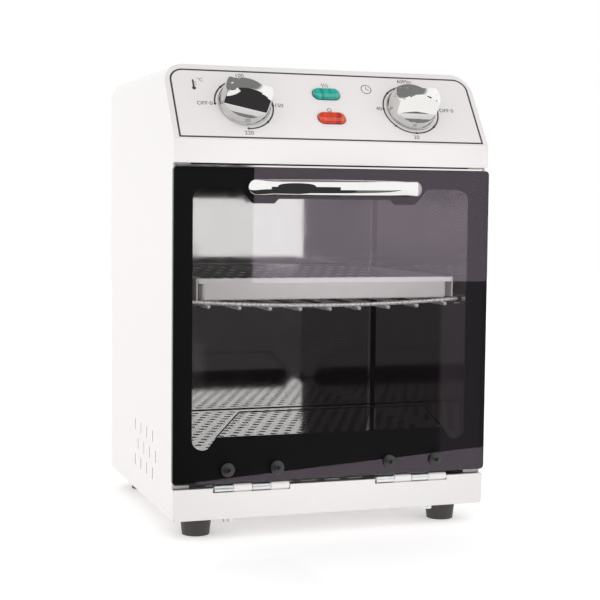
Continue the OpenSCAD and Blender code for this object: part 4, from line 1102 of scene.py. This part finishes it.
def stageMesh(name, corners, material):
    mesh = bpy.data.meshes.new(name)
    mesh.from_pydata([Vector(c) for c in corners], [], [tuple(range(len(corners)))])
    mesh.materials.append(material)
    thing = bpy.data.objects.new(name, mesh)
    bpy.context.scene.collection.objects.link(thing)
    return thing


def onlyInGloss(thing):
    thing.visible_camera = False
    thing.visible_diffuse = False
    thing.visible_shadow = False


def makeRoom():
    # the world: white to the camera, one level for matt surfaces, and a darker ceiling for polished ones
    s = studio
    world = bpy.data.worlds.new("studio")
    bpy.context.scene.world = world
    world.use_nodes = True
    tree = world.node_tree
    tree.nodes.clear()
    out = tree.nodes.new("ShaderNodeOutputWorld")
    light, gloss, seen = (tree.nodes.new("ShaderNodeBackground") for _ in range(3))
    for shade in (light, gloss, seen):
        shade.inputs["Color"].default_value = (1, 1, 1, 1)
    light.inputs["Strength"].default_value = s["diffuseLevel"]
    where = tree.nodes.new("ShaderNodeTexCoord")
    split = tree.nodes.new("ShaderNodeSeparateXYZ")
    ceiling = tree.nodes.new("ShaderNodeMapRange")
    ceiling.interpolation_type = "SMOOTHSTEP"
    for label, key in (("From Min", "zenithFrom"), ("From Max", "zenithTo"),
                       ("To Min", "glossLevel"), ("To Max", "zenithLevel")):
        ceiling.inputs[label].default_value = s[key]
    tree.links.new(where.outputs["Generated"], split.inputs[0])
    tree.links.new(split.outputs["Z"], ceiling.inputs["Value"])
    tree.links.new(ceiling.outputs["Result"], gloss.inputs["Strength"])
    path = tree.nodes.new("ShaderNodeLightPath")
    polished = tree.nodes.new("ShaderNodeMixShader")
    mix = tree.nodes.new("ShaderNodeMixShader")
    tree.links.new(path.outputs["Is Glossy Ray"], polished.inputs[0])
    tree.links.new(light.outputs[0], polished.inputs[1])
    tree.links.new(gloss.outputs[0], polished.inputs[2])
    tree.links.new(path.outputs["Is Camera Ray"], mix.inputs[0])
    tree.links.new(polished.outputs[0], mix.inputs[1])
    tree.links.new(seen.outputs[0], mix.inputs[2])
    tree.links.new(mix.outputs[0], out.inputs[0])


def makeFloor():
    s = studio
    pale = s["floorColour"]
    glow = {"Emission Color": (1, 1, 1, 1), "Emission Strength": s["floorGlow"]}
    finish = makeFinish("paleFloor", pale, tuple(c * 1.01 for c in pale), (0.7, 0.8),
                        (20, even, 2.0), glow)
    reach = s["floorReach"]
    square = [(-reach, -reach, 0), (reach, -reach, 0), (reach, reach, 0), (-reach, reach, 0)]
    stageMesh("floor", square, finish).visible_glossy = False
    # polished pieces only find the table's far part, behind a slanting front edge
    (ax, ay), (bx, by) = s["floorFront"]
    slope = (by - ay) / (bx - ax)
    cutX, cutY = s["floorCorner"]
    outline = [(-reach, cutY), (cutX, cutY), (cutX, ay + (cutX - ax) * slope),
               (reach, by + (reach - bx) * slope), (reach, reach), (-reach, reach)]
    onlyInGloss(stageMesh("floorInGloss", [(x, y, 0) for x, y in outline], finish))


def makeCards():
    s = studio
    reach, low, deep, dim = s["floorReach"], s["lowCardTop"], s["lowCardDepth"], s["dimFrom"]
    finishes = {}
    for level in ("roomLevel", "dimLevel"):
        glow = {"Specular IOR Level": 0.0, "Emission Color": s["cardTint"], "Emission Strength": s[level]}
        finishes[level] = makeFinish(level.replace("Level", "Card"), (0.0, 0.0, 0.0),
                                     (0.002, 0.002, 0.002), (0.9, 1.0), (20, even, 2.0), glow)
    x0, x1, top = s["sideCard"]
    a0, a1, crown = s["archCard"]
    arch = []
    for k in range(s["archSteps"] + 1):
        turn = math.pi * k / s["archSteps"]
        arch.append(((a0 + a1) / 2 + (a1 - a0) / 2 * math.cos(turn), low + (crown - low) * math.sin(turn)))
    for name, level, outline in (
            ("lowCard", "roomLevel", [(-reach, -deep), (dim, -deep), (dim, low), (-reach, low)]),
            ("dimCard", "dimLevel", [(dim, -deep), (reach, -deep), (reach, low), (dim, low)]),
            ("sideCard", "roomLevel", [(x0, low), (x1, low), (x1, top), (x0, top)]),
            ("archCard", "roomLevel", arch)):
        onlyInGloss(stageMesh(name, [(x, s["cardY"], z) for x, z in outline], finishes[level]))


def placeLight(name, data, place, aim):
    light = bpy.data.objects.new(name, data)
    light.location = place
    light.rotation_euler = (Vector(aim) - Vector(place)).to_track_quat("-Z", "Y").to_euler()
    light.visible_glossy = False
    bpy.context.scene.collection.objects.link(light)


def makeLights():
    s = studio
    key = bpy.data.lights.new("keyLight", "AREA")
    key.size = s["keySize"]
    key.energy = s["keyPower"]
    placeLight("keyLight", key, s["keyPlace"], s["keyAim"])
    beam = bpy.data.lights.new("chamberLight", "SPOT")
    beam.energy = s["beamPower"]
    beam.spot_size = math.radians(s["beamAngle"])
    beam.spot_blend = s["beamBlend"]
    beam.shadow_soft_size = s["beamSize"]
    placeLight("chamberLight", beam, s["beamPlace"], s["beamAim"])


makeCamera()
bpy.context.scene.view_settings.view_transform = "Standard"
makeRoom()
makeFloor()
makeCards()
makeLights()
print("camera and studio set")
